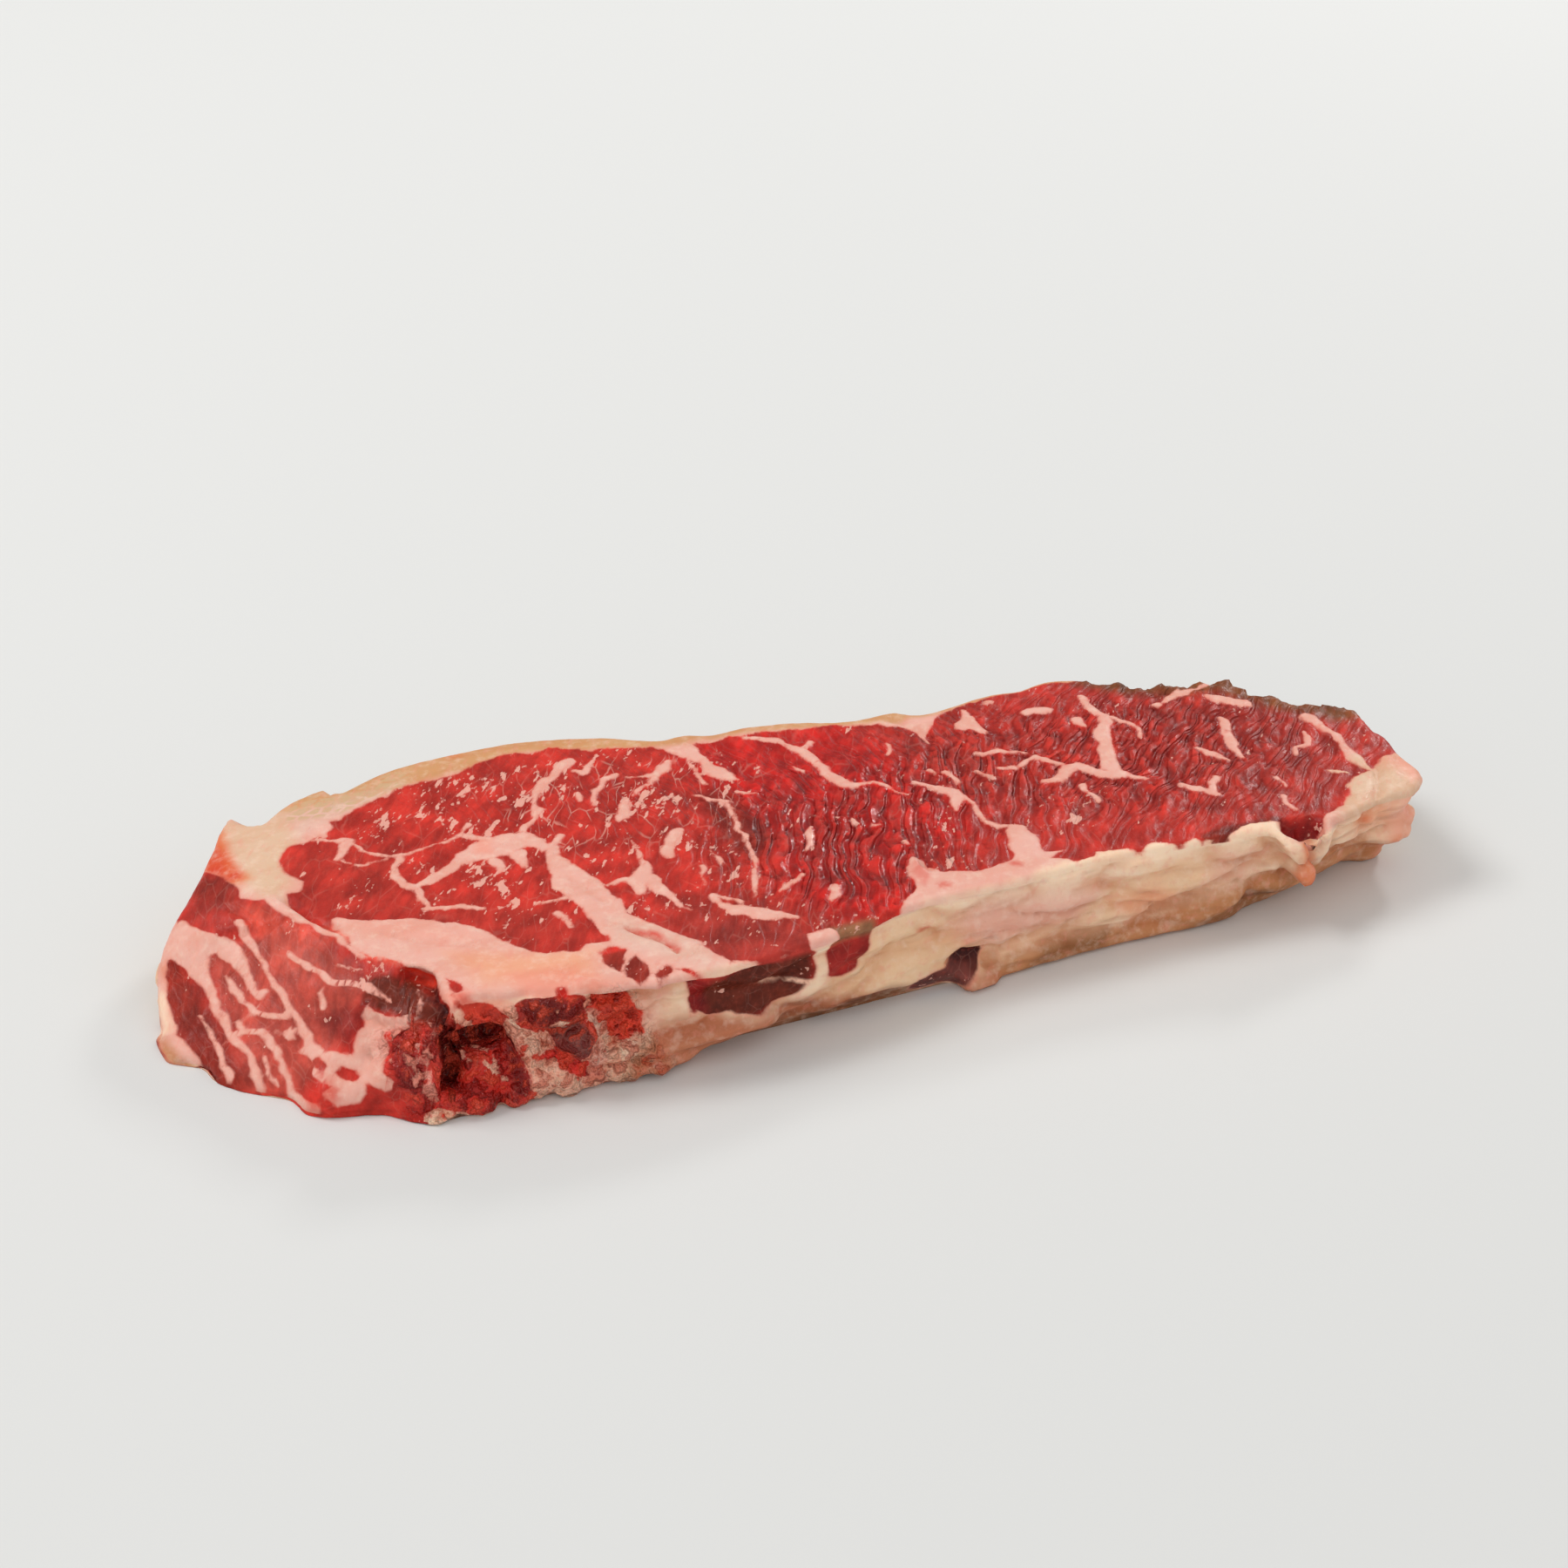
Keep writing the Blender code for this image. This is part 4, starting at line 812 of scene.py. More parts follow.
# Wrinkled lean: the middle of each stretch, its reach both ways, and its height
WRINKLED = [
    (8, -14, 24, 28, 0.95),
    (88, 0, 40, 30, 0.75),
    (45, 10, 22, 20, 0.5),
    (-30, 22, 34, 18, 0.25),
]
FACE_LINES = [
    ([(-90, -16), (-85, -20.5), (-80, -23.5), (-76, -25)], 0.9, -0.5),
    ([(-97, -9), (-90, -14), (-84, -17), (-78, -21)], 2.0, 0.4),
    ([(-49.5, -8), (-47, -15), (-45, -20)], 0.7, -0.5),
    ([(-44, -30), (-42, -33), (-38, -38), (-37, -42)], 0.7, -0.9),
    ([(-40, -24), (-38, -34), (-33, -42)], 1.6, 0.5),
    ([(-106, 4), (-104, -1), (-102, -6), (-98.5, -10)], 0.9, -1.1),
    ([(-109, 5), (-106.5, -1), (-103.5, -8)], 1.4, 0.5),
    ([(-117, 4.5), (-114.5, 0), (-114, -4)], 0.9, -0.9),
    ([(-96, -22), (-95, -24.5), (-92.5, -24.5), (-90.5, -27), (-88, -29), (-85, -30.5)], 0.6, 0.4),
    ([(-100, -40), (-98, -42), (-96, -45), (-93.5, -46.5), (-91.5, -48)], 1.1, 1.1),
    ([(-100.5, -44), (-97, -48.5), (-92, -50)], 1.2, -1.0),
    ([(-102.5, -56), (-102.4, -57)], 1.1, -1.6),
    ([(-103, -46), (-105, -52), (-102, -58), (-101, -64)], 1.8, 0.9),
    ([(-111, -52), (-113.5, -60)], 1.4, 0.6),
    ([(-113.5, -64), (-113.5, -68)], 2.4, 1.2),
    ([(-108, -65), (-108, -68)], 2.2, 0.9),
    ([(-86, -34), (-86, -45), (-86.7, -54), (-87.8, -60), (-88.5, -65), (-91, -70)], 1.5, -2.2),
    ([(-90, -38), (-90, -47), (-89.5, -56)], 1.0, 0.6),
    ([(-95, -52), (-96, -62), (-97, -70)], 1.8, 0.9),
    ([(-88, -70), (-83, -67), (-79, -61)], 2.2, 1.3),
    ([(-84, -76), (-90, -76)], 2.2, 0.8),
    ([(-84, -57), (-79.5, -57)], 2.2, -2.4),
    ([(-77.3, -60), (-79, -78)], 0.9, -0.8),
    ([(-75, -61), (-76, -77)], 1.1, 0.9),
    ([(-71, -72), (-71, -77)], 1.8, 1.3),
    ([(-67, -63), (-64.5, -69)], 2.2, 1.3),
    ([(-69.5, -51), (-64, -51)], 2.4, 1.0),
    ([(-70, -60), (-70.5, -66)], 1.2, -1.2),
    ([(-58, -57), (-60.5, -64), (-64, -74)], 0.7, 0.8),
    ([(-62.5, -76), (-57, -66)], 0.9, -0.8),
    ([(-47, -57), (-52, -69)], 1.8, 0.7),
    ([(-43, -54), (-47, -62), (-51, -72)], 0.9, -0.6),
    ([(-58, -46.5), (-54, -49.6), (-49, -51.8), (-44, -51)], 1.0, 1.5),
    ([(-56, -51), (-50, -55), (-44, -55), (-38, -54)], 1.5, -2.2),
    ([(21.4, -28.5), (21.6, -30)], 1.1, -1.4),
    ([(19.5, -26), (20, -31)], 1.1, 0.9),
    ([(44, -24), (44, -31)], 2.2, 0.5),
    ([(100, -40), (106, -40.5)], 1.6, -1.4),
    ([(130, -24), (127, -30), (123, -36)], 1.2, -0.8),
    ([(133, -22), (131, -29)], 1.6, 0.6),
    ([(-84, 38), (-76, 41)], 1.4, -0.3),
    ([(43, 20), (41, 27), (38, 31)], 1.3, -0.7),
    ([(82, 26), (82, 14), (77, 0), (75, -8)], 1.6, 0.3),
    ([(127, 0), (127, -20)], 1.4, 0.35),
    ([(-99, -36), (-108, -30)], 3.0, 0.4),
    ([(-138.4, -38), (-138.4, -45)], 1.8, 1.2),
    ([(-123, -64), (-121, -66)], 1.2, -0.6),
    ([(-132.6, -50), (-132.4, -54)], 1.0, -0.7),
]
SIDE_LINES = [
    ([(30, 4.6), (44, 5.8), (60, 5.4), (75, 8), (90, 10)], 0.8, -1.0),
    ([(58, 17), (70, 12), (78, 10)], 1.0, -0.6),
    ([(62, 3.5), (75, 10), (84, 13), (97, 14)], 0.9, -0.7),
    ([(64, 7.5), (72, 12), (80, 15)], 1.8, 0.6),
    ([(52, 21), (68, 20), (84, 20.5), (97, 20)], 1.6, 0.5),
    ([(50, 18), (66, 17), (82, 17), (95, 16)], 0.9, -0.6),
    ([(20, 20), (34, 18), (50, 19)], 1.4, 0.45),
    ([(14, 18), (20, 14), (27, 13)], 0.9, -0.5),
    ([(16, 9), (26, 9.5), (38, 11), (50, 12)], 1.6, 0.5),
    ([(22, 7), (30, 7.4), (38, 7.8)], 0.8, -0.9),
    ([(-8, 3), (4, 7), (14, 10)], 1.6, 0.6),
    ([(-10, 6), (0, 10), (8, 15)], 0.9, -0.6),
    ([(-4, 1.5), (10, 3.5)], 1.0, -0.5),
    ([(-44, 3), (-34, 8), (-22, 8)], 2.4, 0.7),
    ([(-34, 9.5), (-24, 9.5), (-16, 10)], 1.0, -0.8),
    ([(-30, 4), (-20, 4.4), (-8, 4)], 0.9, -0.5),
    ([(-13.5, 8), (-9, 11), (-5, 9)], 1.5, 0.6),
    ([(98, 21), (101.5, 16), (104, 11)], 1.3, 2.2),
    ([(103, 22), (105, 17), (106.4, 12)], 1.2, -2.6),
    ([(94, 20), (98, 15), (101, 10)], 1.0, -1.0),
    ([(26.5, 1.5), (31, 1.2)], 1.8, 1.8),
    ([(107.5, 21), (109, 15)], 1.4, 0.8),
    ([(111.5, 20), (112.5, 12)], 1.0, -0.7),
    ([(119, 21), (121, 13)], 0.9, -0.6),
    ([(112, 10.5), (122, 11), (128, 12.5)], 0.9, -0.7),
    ([(126, 6), (131, 4)], 1.0, -0.5),
    ([(133, 11), (134, 3)], 0.8, -0.4),
    ([(86, 5.5), (96, 8), (106, 7)], 1.6, 0.5),
    ([(42, 14), (47, 11), (52, 8.5)], 0.8, -0.4),
    ([(66, 15), (70, 13)], 1.2, 0.4),
]
# Where silver skin shows on the back rim
SILVER_SKIN = [(-100, 33), (-96, 41), (-84, 43), (-72, 46.5), (-70, 43), (-74, 39), (-88, 33)]


def line_relief(spots, lines):
    """Height of grooves and ridges drawn as lines over these spots."""
    height = np.zeros(len(spots))
    for line, width, tall in lines:
        height += tall * np.exp(-(to_line(spots, line) / width) ** 2)
    return height


def soft_spot(points, x, y, reach_x, reach_y):
    """1 at a middle, fading out over a reach each way."""
    return np.exp(-((points[:, 0] - x) / reach_x) ** 2 - ((points[:, 1] - y) / reach_y) ** 2)


def ridged(points, size, seed):
    """Noise with sharp creases between rounded backs, 0 in a crease."""
    return np.clip(np.abs(lumps(points, size, seed)) * 2.4, 0, 1)


tilt = math.radians(GRAIN_TURN)
swayed = wobbled(verts[:, :2], 1.8, 8.0, 44)
grain = np.column_stack([
    swayed[:, 0] * math.cos(tilt) - swayed[:, 1] * math.sin(tilt),
    (swayed[:, 0] * math.sin(tilt) + swayed[:, 1] * math.cos(tilt)) * GRAIN_LENGTH,
    verts[:, 2],
])
wrinkle = np.full(len(verts), 0.06)
for x, y, reach_x, reach_y, tall in WRINKLED:
    wrinkle += tall * soft_spot(verts, x, y, reach_x, reach_y)
lean_share = ramp(-depth, 0, 0.5)
coarse_creases = ridged(grain, 10.0, 41)
fine_creases = ridged(grain, 5.0, 42)
from_edge = np.zeros(len(verts))
from_edge[:len(face_xy)] = ramp(from_rim, 0, 2.5)
lie_flat = np.where(slab_face, from_edge, 0)
relief = lie_flat * wrinkle * lean_share * ((coarse_creases - 0.7) + 0.5 * (fine_creases - 0.6))
relief += lie_flat * FAT_PROUD * np.clip(depth, -0.3, 1)
# painted shade: the lean is darkened in the deep creases of its wrinkles
deep_creases = np.clip((1 - coarse_creases) ** 3 + (1 - fine_creases) ** 4 * 0.7, 0, 1)
crease_painted_shade = lie_flat * np.clip(wrinkle * 1.1, 0, 0.75) * lean_share * deep_creases

# Grooves, torn lumps, folds of the fat cap and crags of the dry crust, one after another
relief[facing] += line_relief(seen[facing], FACE_LINES)
relief[wall_side] += line_relief(side[wall_side], SIDE_LINES)
torn_zone = corner * np.exp(-np.clip((np.abs(seen[:, 0] + 75) - 21) / 4, 0, None) ** 2)
torn_zone = torn_zone * ramp(-seen[:, 1], 48, 3)
relief += torn_zone * (TORN_LUMPS * lumps(verts, 4.4, 51) + TORN_SHREDS * lumps(verts, 2.2, 52))
cap_zone = wall * ramp(verts[:, 2], 0.5, 4)
cap_zone = cap_zone * np.maximum(ramp(verts[:, 0], -60, 8), ~facing)
stretched = verts * [FOLD_LENGTH, FOLD_LENGTH, 1.0]
stretched[:, 2] += lumps(verts, 11, 58) * 2.2 - verts[:, 0] * 0.06
folds = ridged(stretched, FOLD_SIZE, 53)
small_folds = ridged(stretched, SMALL_FOLD_SIZE, 54)
relief += cap_zone * (FOLD_HEIGHT * (folds - 0.7) + SMALL_FOLD_HEIGHT * (small_folds - 0.6))
# painted shade in the creases between the folds of the cap
fold_painted_shade = cap_zone * np.clip((1 - folds) ** 3 * 0.6 + (1 - small_folds) ** 4 * 0.15, 0, 1)
crag = ramp(verts[:, 0], 84, 8) * ramp(verts[:, 1], -6, 6)
near_rim = np.ones(len(verts))
near_rim[:len(face_xy)] = np.clip(1.4 - from_rim / 5, 0, 1)
relief += crag * near_rim * ~under * (CRUST_HEIGHT * lumps(verts, 3.0, 55)
                                      + CRUST_GRIT * lumps(verts, 1.4, 56))
relief += np.where(wall, 0.05, 0.03 + 0.04 * lean_share) * lumps(verts, 1.1, 57)
relief[under] = 0
# painted shade in the grooves drawn on the cap side and on the cut face, laid into the fat colour
fold_painted_shade += np.clip(-line_relief(side, SIDE_LINES) * 0.8, 0, 0.9) * wall_side
fold_painted_shade += np.clip(-line_relief(seen, FACE_LINES) * 0.45, 0, 0.6) * facing
fat_colour_and_shade = fat_colour_and_shade * (1 - np.clip(fold_painted_shade, 0, 1)[:, None] * FOLD_SHADE)

verts -= [MIDDLE[0], MIDDLE[1], 0]
mesh = bpy.data.meshes.new("marbled_slab")
mesh.from_pydata([tuple(v) for v in verts * MM], [], faces)
mesh.update()
normals = np.zeros(len(verts) * 3)
mesh.vertex_normals.foreach_get("vector", normals)
verts = verts + normals.reshape(-1, 3) * relief[:, None]
verts[:, 2] = np.maximum(verts[:, 2], 0)
mesh.vertices.foreach_set("co", (verts * MM).ravel())
mesh.update()
mesh.polygons.foreach_set("use_smooth", np.ones(len(mesh.polygons), bool))

# What the surface needs to know at each place, kept as layers of the mesh
strength = np.clip(wrinkle * 1.15, 0, 1) * lie_flat * lean_share
upper = ramp(verts[:, 1] - 0.25 * verts[:, 0], 2, 8) * ramp(-verts[:, 0], -62, 8)
right = ramp(verts[:, 0], 54, 8)
wrinkled = np.column_stack([
    strength * (1 - upper) * (1 - right),
    strength * upper,
    strength * right * 0.9,
])
wet = soft_spot(verts, 8, -10, 24, 24) + torn_zone
net = soft_spot(verts, -34, 20, 36, 22)
lattice = np.clip(signed_depth(seen, SILVER_SKIN) + 0.5, 0, 1)
brownish = ramp(0.16 - lean_colour_and_shade[:, 0], 0, 0.1)
tail = facing * ramp(-seen[:, 0], 95, 6)
ragged_share = 0.85 - 0.5 * np.maximum(tail, wall_side)
plain_lean = torn_zone + brownish + 0.55 * tail + strength * 0.6 + crag * near_rim
plain_lean = np.clip(plain_lean + (seen[:, 1] < -47) * slab_face, 0, 1)
swayed = np.column_stack([swayed - [MIDDLE[0], MIDDLE[1]], verts[:, 2]]) * MM
blotch = 1.6 * np.column_stack([lumps(verts, size, seed) for size, seed in ((7, 61), (6, 62), (9, 63))])
number_layers = {
    "fat_depth": depth,
    # painted shade in the creases of the lean
    "crease": crease_painted_shade,
    "wet": wet,
    "net": net,
    "lattice": lattice,
    "cap": cap_zone,
    "torn": torn_zone,
    "plain_lean": plain_lean,
    "ragged": ragged_share,
}
vector_layers = {
    "lean_colour_and_shade": lean_colour_and_shade,
    "fat_colour_and_shade": fat_colour_and_shade,
    "wrinkled": wrinkled,
    "swayed": swayed,
    "blotch": blotch,
}
for name, value in number_layers.items():
    layer = mesh.attributes.new(name, "FLOAT", "POINT")
    layer.data.foreach_set("value", np.asarray(value, np.float32))
for name, value in vector_layers.items():
    layer = mesh.attributes.new(name, "FLOAT_VECTOR", "POINT")
    layer.data.foreach_set("vector", np.asarray(value, np.float32).ravel())
slab = bpy.data.objects.new("marbled_slab", mesh)
bpy.context.scene.collection.objects.link(slab)

# The wet surface
# Raw meat is damp all over: lean is red and full of fine fat, fat is waxy and lets light in.
# The patterns are laid over the painted lean and the painted fat, then the two are joined.


def tone(red, green, blue):
    """A colour as read off a screen, with the fourth value that the shader's inputs take."""
    return (*paint(red, green, blue), 1)


PALE_FIBRE = tone(226, 100, 80)
DEEP_TEAR = tone(128, 20, 18)
BRIGHT_TEAR = tone(236, 84, 60)
# painted shade in the creases of the lean
CREASE_PAINTED_SHADE = tone(88, 10, 12)
# painted highlight on the crests of the wrinkles
CREST_PAINTED_LIGHT = tone(236, 96, 80)
FLECK = tone(240, 180, 162)
WAX_SHADE = tone(232, 176, 140)
WAX_LIGHT = tone(250, 226, 206)
SKIN = tone(206, 170, 130)
STAIN = tone(208, 74, 48)
MOTTLE = tone(232, 150, 132)
BLUSH = tone(228, 128, 110)
STRAND_TURNS = (158, 196, 134)
STRAND_GAPS = (3.4, 2.8, 3.0)
STRAND_LENGTH = 3.4

meat = bpy.data.materials.new("marbled_beef")
meat.use_nodes = True
nodes = meat.node_tree.nodes
links = meat.node_tree.links
shader = nodes["Principled BSDF"]


def plug(socket, value):
    """Join an output to an input, or set the input to a plain value."""
    if isinstance(value, bpy.types.NodeSocket):
        links.new(value, socket)
    else:
        socket.default_value = value


def layer_value(name, output="Fac"):
    """What a layer of the mesh holds at each place: a number, or a vector."""
    node = nodes.new("ShaderNodeAttribute")
    node.attribute_name = name
    return node.outputs[output]


def maths(operation, a, b=0.0, c=0.0):
    """A sum or another simple operation on two or three values."""
    node = nodes.new("ShaderNodeMath")
    node.operation = operation
    for socket, value in zip(node.inputs, (a, b, c)):
        plug(socket, value)
    return node.outputs[0]


def between(value, low, high, start=0.0, end=1.0):
    """A smooth rise from start to end while the value goes from low to high."""
    node = nodes.new("ShaderNodeMapRange")
    node.interpolation_type = "SMOOTHSTEP"
    for socket, setting in zip(node.inputs, (value, low, high, start, end)):
        plug(socket, setting)
    return node.outputs["Result"]


def blend(factor, a, b, kind="MIX"):
    """One colour turning into another as the factor goes from 0 to 1."""
    node = nodes.new("ShaderNodeMix")
    node.data_type = "RGBA"
    node.blend_type = kind
    plug(node.inputs["Factor"], factor)
    plug(node.inputs["A"], a)
    plug(node.inputs["B"], b)
    return node.outputs["Result"]


place = nodes.new("ShaderNodeTexCoord").outputs["Object"]


def stretched_place(long, turn, start=place, wide=1.0):
    """The place in millimetres, turned on the table and drawn out one way or across it."""
    node = nodes.new("ShaderNodeMapping")
    node.vector_type = "TEXTURE"
    links.new(start, node.inputs["Vector"])
    node.inputs["Rotation"].default_value = (0, 0, math.radians(turn))
    node.inputs["Scale"].default_value = (MM * long, MM * wide, MM)
    return node.outputs["Vector"]


def cloud(vector, size, detail=3.0, rough=0.55):
    """Cloudy noise of about 0.3 to 0.7, with clouds of the given size."""
    node = nodes.new("ShaderNodeTexNoise")
    links.new(vector, node.inputs["Vector"])
    node.inputs["Scale"].default_value = 1 / size
    node.inputs["Detail"].default_value = detail
    node.inputs["Roughness"].default_value = rough
    return node.outputs["Fac"]


def cell_edges(vector, size):
    """How far a place is from the edge of its cell, for cells of the given size."""
    node = nodes.new("ShaderNodeTexVoronoi")
    node.feature = "DISTANCE_TO_EDGE"
    links.new(vector, node.inputs["Vector"])
    node.inputs["Scale"].default_value = 1 / size
    return node.outputs["Distance"]


even = stretched_place(1.0, 0)
torn_cloud = cloud(even, 3.4, 3.0, 0.55)
along_grain = stretched_place(3.8, 68)
warped_grain = stretched_place(2.6, 56)
short_grain = stretched_place(1.6, 64)
across_cap = stretched_place(3.0, 4)
fat_layer = layer_value("fat_depth")
blotch = nodes.new("ShaderNodeSeparateXYZ")
links.new(layer_value("blotch", "Vector"), blotch.inputs[0])
ragged_edge = maths("MULTIPLY_ADD", cloud(short_grain, 2.4, 4.0, 0.55), 2.6, -1.3)
ragged_edge = maths("MULTIPLY", ragged_edge, layer_value("ragged"))
torn_mix = maths("MULTIPLY_ADD", torn_cloud, 7.0, -3.8)
ragged_edge = maths("MULTIPLY_ADD", torn_mix, layer_value("torn"), ragged_edge)
fat_edge = maths("ADD", fat_layer, ragged_edge)
fat_mask = between(fat_edge, -0.36, 0.36)

# flecks of fat inside the lean
fleck_place = stretched_place(1.6, 54)
fleck_cloud = cloud(fleck_place, 1.15, 2.0, 0.5)
fleck_crowd = maths("MULTIPLY_ADD", blotch.outputs[2], 0.3, 0.5)
fleck_level = maths("MULTIPLY_ADD", fleck_crowd, 0.36, -0.20)
fleck_level = maths("MULTIPLY_ADD", layer_value("net"), 0.04, fleck_level)
fleck_level = maths("MULTIPLY_ADD", layer_value("plain_lean"), -0.12, fleck_level)
flecks = between(maths("ADD", fleck_cloud, fleck_level), 0.66, 0.73)
big_cloud = maths("ADD", cloud(warped_grain, 2.1, 3.0, 0.5), fleck_level)
big_flecks = between(maths("MULTIPLY_ADD", layer_value("net"), 0.06, big_cloud), 0.645, 0.69)
swayed_place = layer_value("swayed", "Vector")
swayed_grain = stretched_place(3.8, 68, swayed_place)
lines_in_lean = between(cell_edges(swayed_grain, 2.8), 0.0, 0.05, 1.0, 0.0)
lines_in_lean = maths("MULTIPLY", lines_in_lean, between(blotch.outputs[1], -0.3, 0.4))
net_mask = maths("MULTIPLY", lines_in_lean, between(layer_value("net"), 0.25, 0.8, 0.1, 0.6))
marble = maths("MULTIPLY", flecks, 0.75)
marble = maths("MAXIMUM", marble, big_flecks)
marble = maths("MAXIMUM", marble, net_mask)


def shaded(vector, amount):
    """A colour made darker or lighter all over."""
    node = nodes.new("ShaderNodeVectorMath")
    node.operation = "SCALE"
    links.new(vector, node.inputs[0])
    plug(node.inputs["Scale"], amount)
    return node.outputs[0]


# lean, with its fibres, tears and flecks, painted shade in its creases and a painted highlight on its
# crests
lean = layer_value("lean_colour_and_shade", "Vector")
lean = shaded(lean, between(cloud(warped_grain, 2.2, 3.0, 0.5), 0.3, 0.7, 0.78, 1.2))
lean = shaded(lean, between(blotch.outputs[0], -0.7, 0.7, 0.82, 1.18))
lean = blend(between(cloud(along_grain, 0.9, 2.0), 0.48, 0.75, 0.0, 0.12), lean, PALE_FIBRE)
torn = layer_value("torn")
lean = blend(maths("MULTIPLY", torn, between(torn_cloud, 0.48, 0.58, 0.0, 0.6)), lean, DEEP_TEAR)
lean = blend(maths("MULTIPLY", torn, between(torn_cloud, 0.40, 0.50, 0.65, 0.0)), lean, BRIGHT_TEAR)
shares = nodes.new("ShaderNodeSeparateXYZ")
links.new(layer_value("wrinkled", "Vector"), shares.inputs[0])
# painted shade: the crease layer and the dark lines between the strands darken the lean where its
# creases lie
wrinkle_height = 0.0
crease = layer_value("crease")
for share, turn, gap in zip(shares.outputs, STRAND_TURNS, STRAND_GAPS):
    strands = nodes.new("ShaderNodeTexWave")
    links.new(stretched_place(1.0, turn, swayed_place, STRAND_LENGTH), strands.inputs["Vector"])
    strands.inputs["Scale"].default_value = 0.314 / gap
    strands.inputs["Distortion"].default_value = 9.0
    strands.inputs["Detail"].default_value = 2.0
    strands.inputs["Detail Scale"].default_value = 1.6
    height = between(strands.outputs["Fac"], 0.0, 0.75)
    wrinkle_height = maths("MULTIPLY_ADD", height, share, wrinkle_height)
    line = between(strands.outputs["Fac"], 0.0, 0.3, 1.0, 0.0)
    crease = maths("MAXIMUM", crease, maths("MULTIPLY", line, maths("MULTIPLY", share, 0.62)))
lean = blend(crease, lean, CREASE_PAINTED_SHADE)
# painted highlight: the tops of the wrinkles made a little lighter
crest_painted_light = between(wrinkle_height, 0.5, 1.0, 0.0, 0.1)
lean = blend(crest_painted_light, lean, CREST_PAINTED_LIGHT)
lean = blend(maths("MULTIPLY", marble, 0.8), lean, FLECK)

# fat, with its wax, silver skin, stains and the blush along its edge
fat = layer_value("fat_colour_and_shade", "Vector")
wax = between(cloud(across_cap, 6.0, 2.0), 0.4, 0.65, 0.0, 0.2)
fat = blend(wax, fat, WAX_SHADE, "MULTIPLY")
fat = blend(between(cloud(even, 2.2, 3.0), 0.45, 0.75, 0.0, 0.25), fat, WAX_LIGHT)
scales = between(cell_edges(stretched_place(1.8, 20), 2.2), 0.02, 0.2)
scales = maths("MULTIPLY", scales, maths("MULTIPLY", layer_value("lattice"), 0.8))
fat = blend(scales, fat, SKIN)
stain = maths("MULTIPLY", torn, between(torn_cloud, 0.45, 0.6, 0.05, 0.6))
fat = blend(stain, fat, STAIN)
mottle = between(cloud(warped_grain, 1.8, 3.0), 0.5, 0.72, 0.0, 0.3)
fat = blend(mottle, fat, MOTTLE)
blush = between(fat_edge, 0.0, 0.9, 0.4, 0.0)
fat = blend(blush, fat, BLUSH)
links.new(blend(fat_mask, lean, fat), shader.inputs["Base Color"])

# dampness
shine = maths("MULTIPLY_ADD", cloud(even, 2.4, 2.0), 0.3, 0.28)
shine = maths("MULTIPLY_ADD", layer_value("wet"), -0.12, shine)
shine = maths("MULTIPLY_ADD", fat_mask, 0.08, shine)
links.new(shine, shader.inputs["Roughness"])
links.new(maths("MULTIPLY_ADD", layer_value("wet"), 0.22, 0.04), shader.inputs["Coat Weight"])
shader.inputs["Specular IOR Level"].default_value = 0.13
shader.inputs["Coat Roughness"].default_value = 0.14
shader.inputs["Coat IOR"].default_value = 1.35
shader.inputs["Subsurface Weight"].default_value = 0.15
shader.inputs["Subsurface Radius"].default_value = (1.0, 0.4, 0.25)
shader.inputs["Subsurface Scale"].default_value = 0.0007

# finest relief, too small for the mesh
fibre = maths("MULTIPLY", cloud(swayed_grain, 1.2, 2.0), between(fat_mask, 0.0, 1.0, 0.14, 0.04))
pores = maths("MULTIPLY", cloud(even, 0.6, 2.0), 0.06)
grit = maths("ADD", fibre, pores)
grit = maths("ADD", grit, maths("MULTIPLY", marble, 0.06))
grit = maths("ADD", grit, maths("MULTIPLY", fat_mask, 0.12))
grit = maths("MULTIPLY_ADD", wrinkle_height, 0.8, grit)
cap_folds = maths("ABSOLUTE", maths("SUBTRACT", cloud(across_cap, 7.5, 1.0), 0.5))
cap_folds = between(cap_folds, 0.0, 0.16)
grit = maths("MULTIPLY_ADD", cap_folds, maths("MULTIPLY", layer_value("cap"), 0.6), grit)
torn_lumps = maths("ABSOLUTE", maths("SUBTRACT", torn_cloud, 0.5))
torn_lumps = between(torn_lumps, 0.0, 0.2)
grit = maths("MULTIPLY_ADD", torn_lumps, maths("MULTIPLY", torn, 1.7), grit)
bump = nodes.new("ShaderNodeBump")
bump.inputs["Strength"].default_value = 0.9
bump.inputs["Distance"].default_value = MM
links.new(grit, bump.inputs["Height"])
links.new(bump.outputs["Normal"], shader.inputs["Normal"])
links.new(bump.outputs["Normal"], shader.inputs["Coat Normal"])
mesh.materials.append(meat)

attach(slab, "root")
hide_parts("steak")

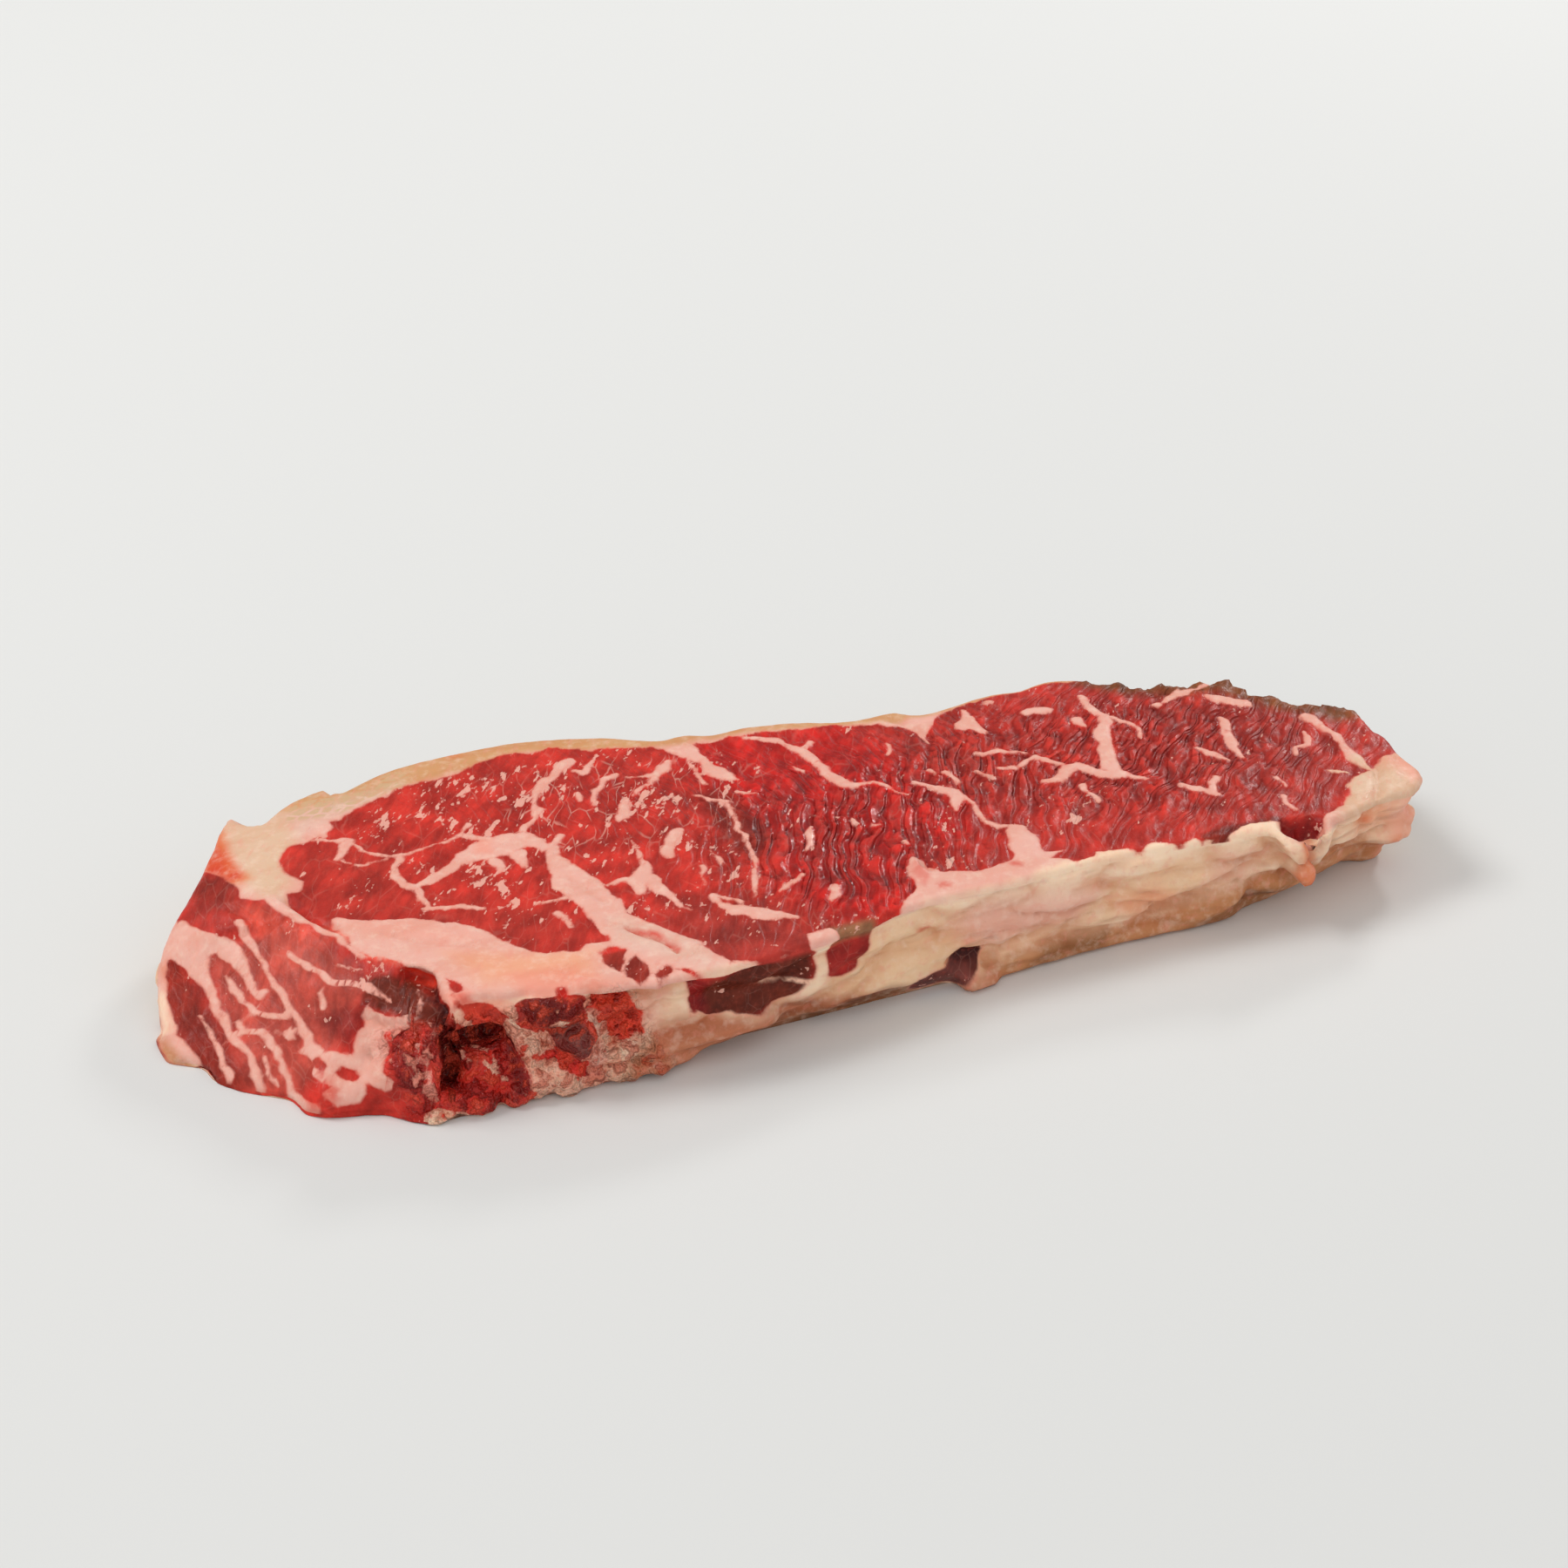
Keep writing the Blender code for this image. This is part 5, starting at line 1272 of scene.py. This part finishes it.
# Floor, light and camera
# A pale matt table in a bright room, with a window behind on the left and a small lamp behind
# on the right. The camera looks down from the front left, at the fat cap and the torn corner.
floor_mesh = bpy.data.meshes.new("table_top")
floor_mesh.from_pydata([(-4, -4, 0), (4, -4, 0), (4, 4, 0), (-4, 4, 0)], [], [(0, 1, 2, 3)])
table_top = bpy.data.objects.new("table_top", floor_mesh)
bpy.context.scene.collection.objects.link(table_top)
pale = bpy.data.materials.new("pale_table")
pale.use_nodes = True
pale.node_tree.nodes["Principled BSDF"].inputs["Base Color"].default_value = (0.722, 0.724, 0.71, 1)
pale.node_tree.nodes["Principled BSDF"].inputs["Roughness"].default_value = 0.8
floor_mesh.materials.append(pale)

world = bpy.data.worlds.new("soft_room")
world.use_nodes = True
room = world.node_tree
direction = room.nodes.new("ShaderNodeTexCoord")
parts = room.nodes.new("ShaderNodeSeparateXYZ")
glow = room.nodes.new("ShaderNodeMath")
glow.operation = "MULTIPLY_ADD"
glow.inputs[1].default_value = -0.37
glow.inputs[2].default_value = 0.615
room.links.new(direction.outputs["Generated"], parts.inputs[0])
room.links.new(parts.outputs["Y"], glow.inputs[0])
room.links.new(glow.outputs[0], room.nodes["Background"].inputs["Strength"])
room.nodes["Background"].inputs["Color"].default_value = (1.0, 0.995, 0.985, 1)
bpy.context.scene.world = world
bpy.context.scene.view_settings.view_transform = "Standard"


def lamp(name, size, watts, spot):
    """A square lamp that stands at a spot and points at the steak."""
    light = bpy.data.lights.new(name, "AREA")
    light.size = size
    light.energy = watts
    holder = bpy.data.objects.new(name, light)
    holder.location = spot
    holder.rotation_euler = (-holder.location).to_track_quat("-Z", "Y").to_euler()
    bpy.context.scene.collection.objects.link(holder)


lamp("window", 0.9, 25.5, (-1.2, 0.75, 1.9))
lamp("glint", 0.3, 9.0, (1.3, 1.2, 0.95))

camera = bpy.data.cameras.new("camera")
camera.lens = 72
camera.sensor_width = 36
camera_object = bpy.data.objects.new("camera", camera)
view_direction = Vector((0.29620, 0.81380, -0.5))
camera_object.location = (Vector(VIEW_POINT) - Vector((MIDDLE[0], MIDDLE[1], 0))) * MM
camera_object.rotation_euler = view_direction.to_track_quat("-Z", "Y").to_euler()
bpy.context.scene.collection.objects.link(camera_object)
bpy.context.scene.camera = camera_object
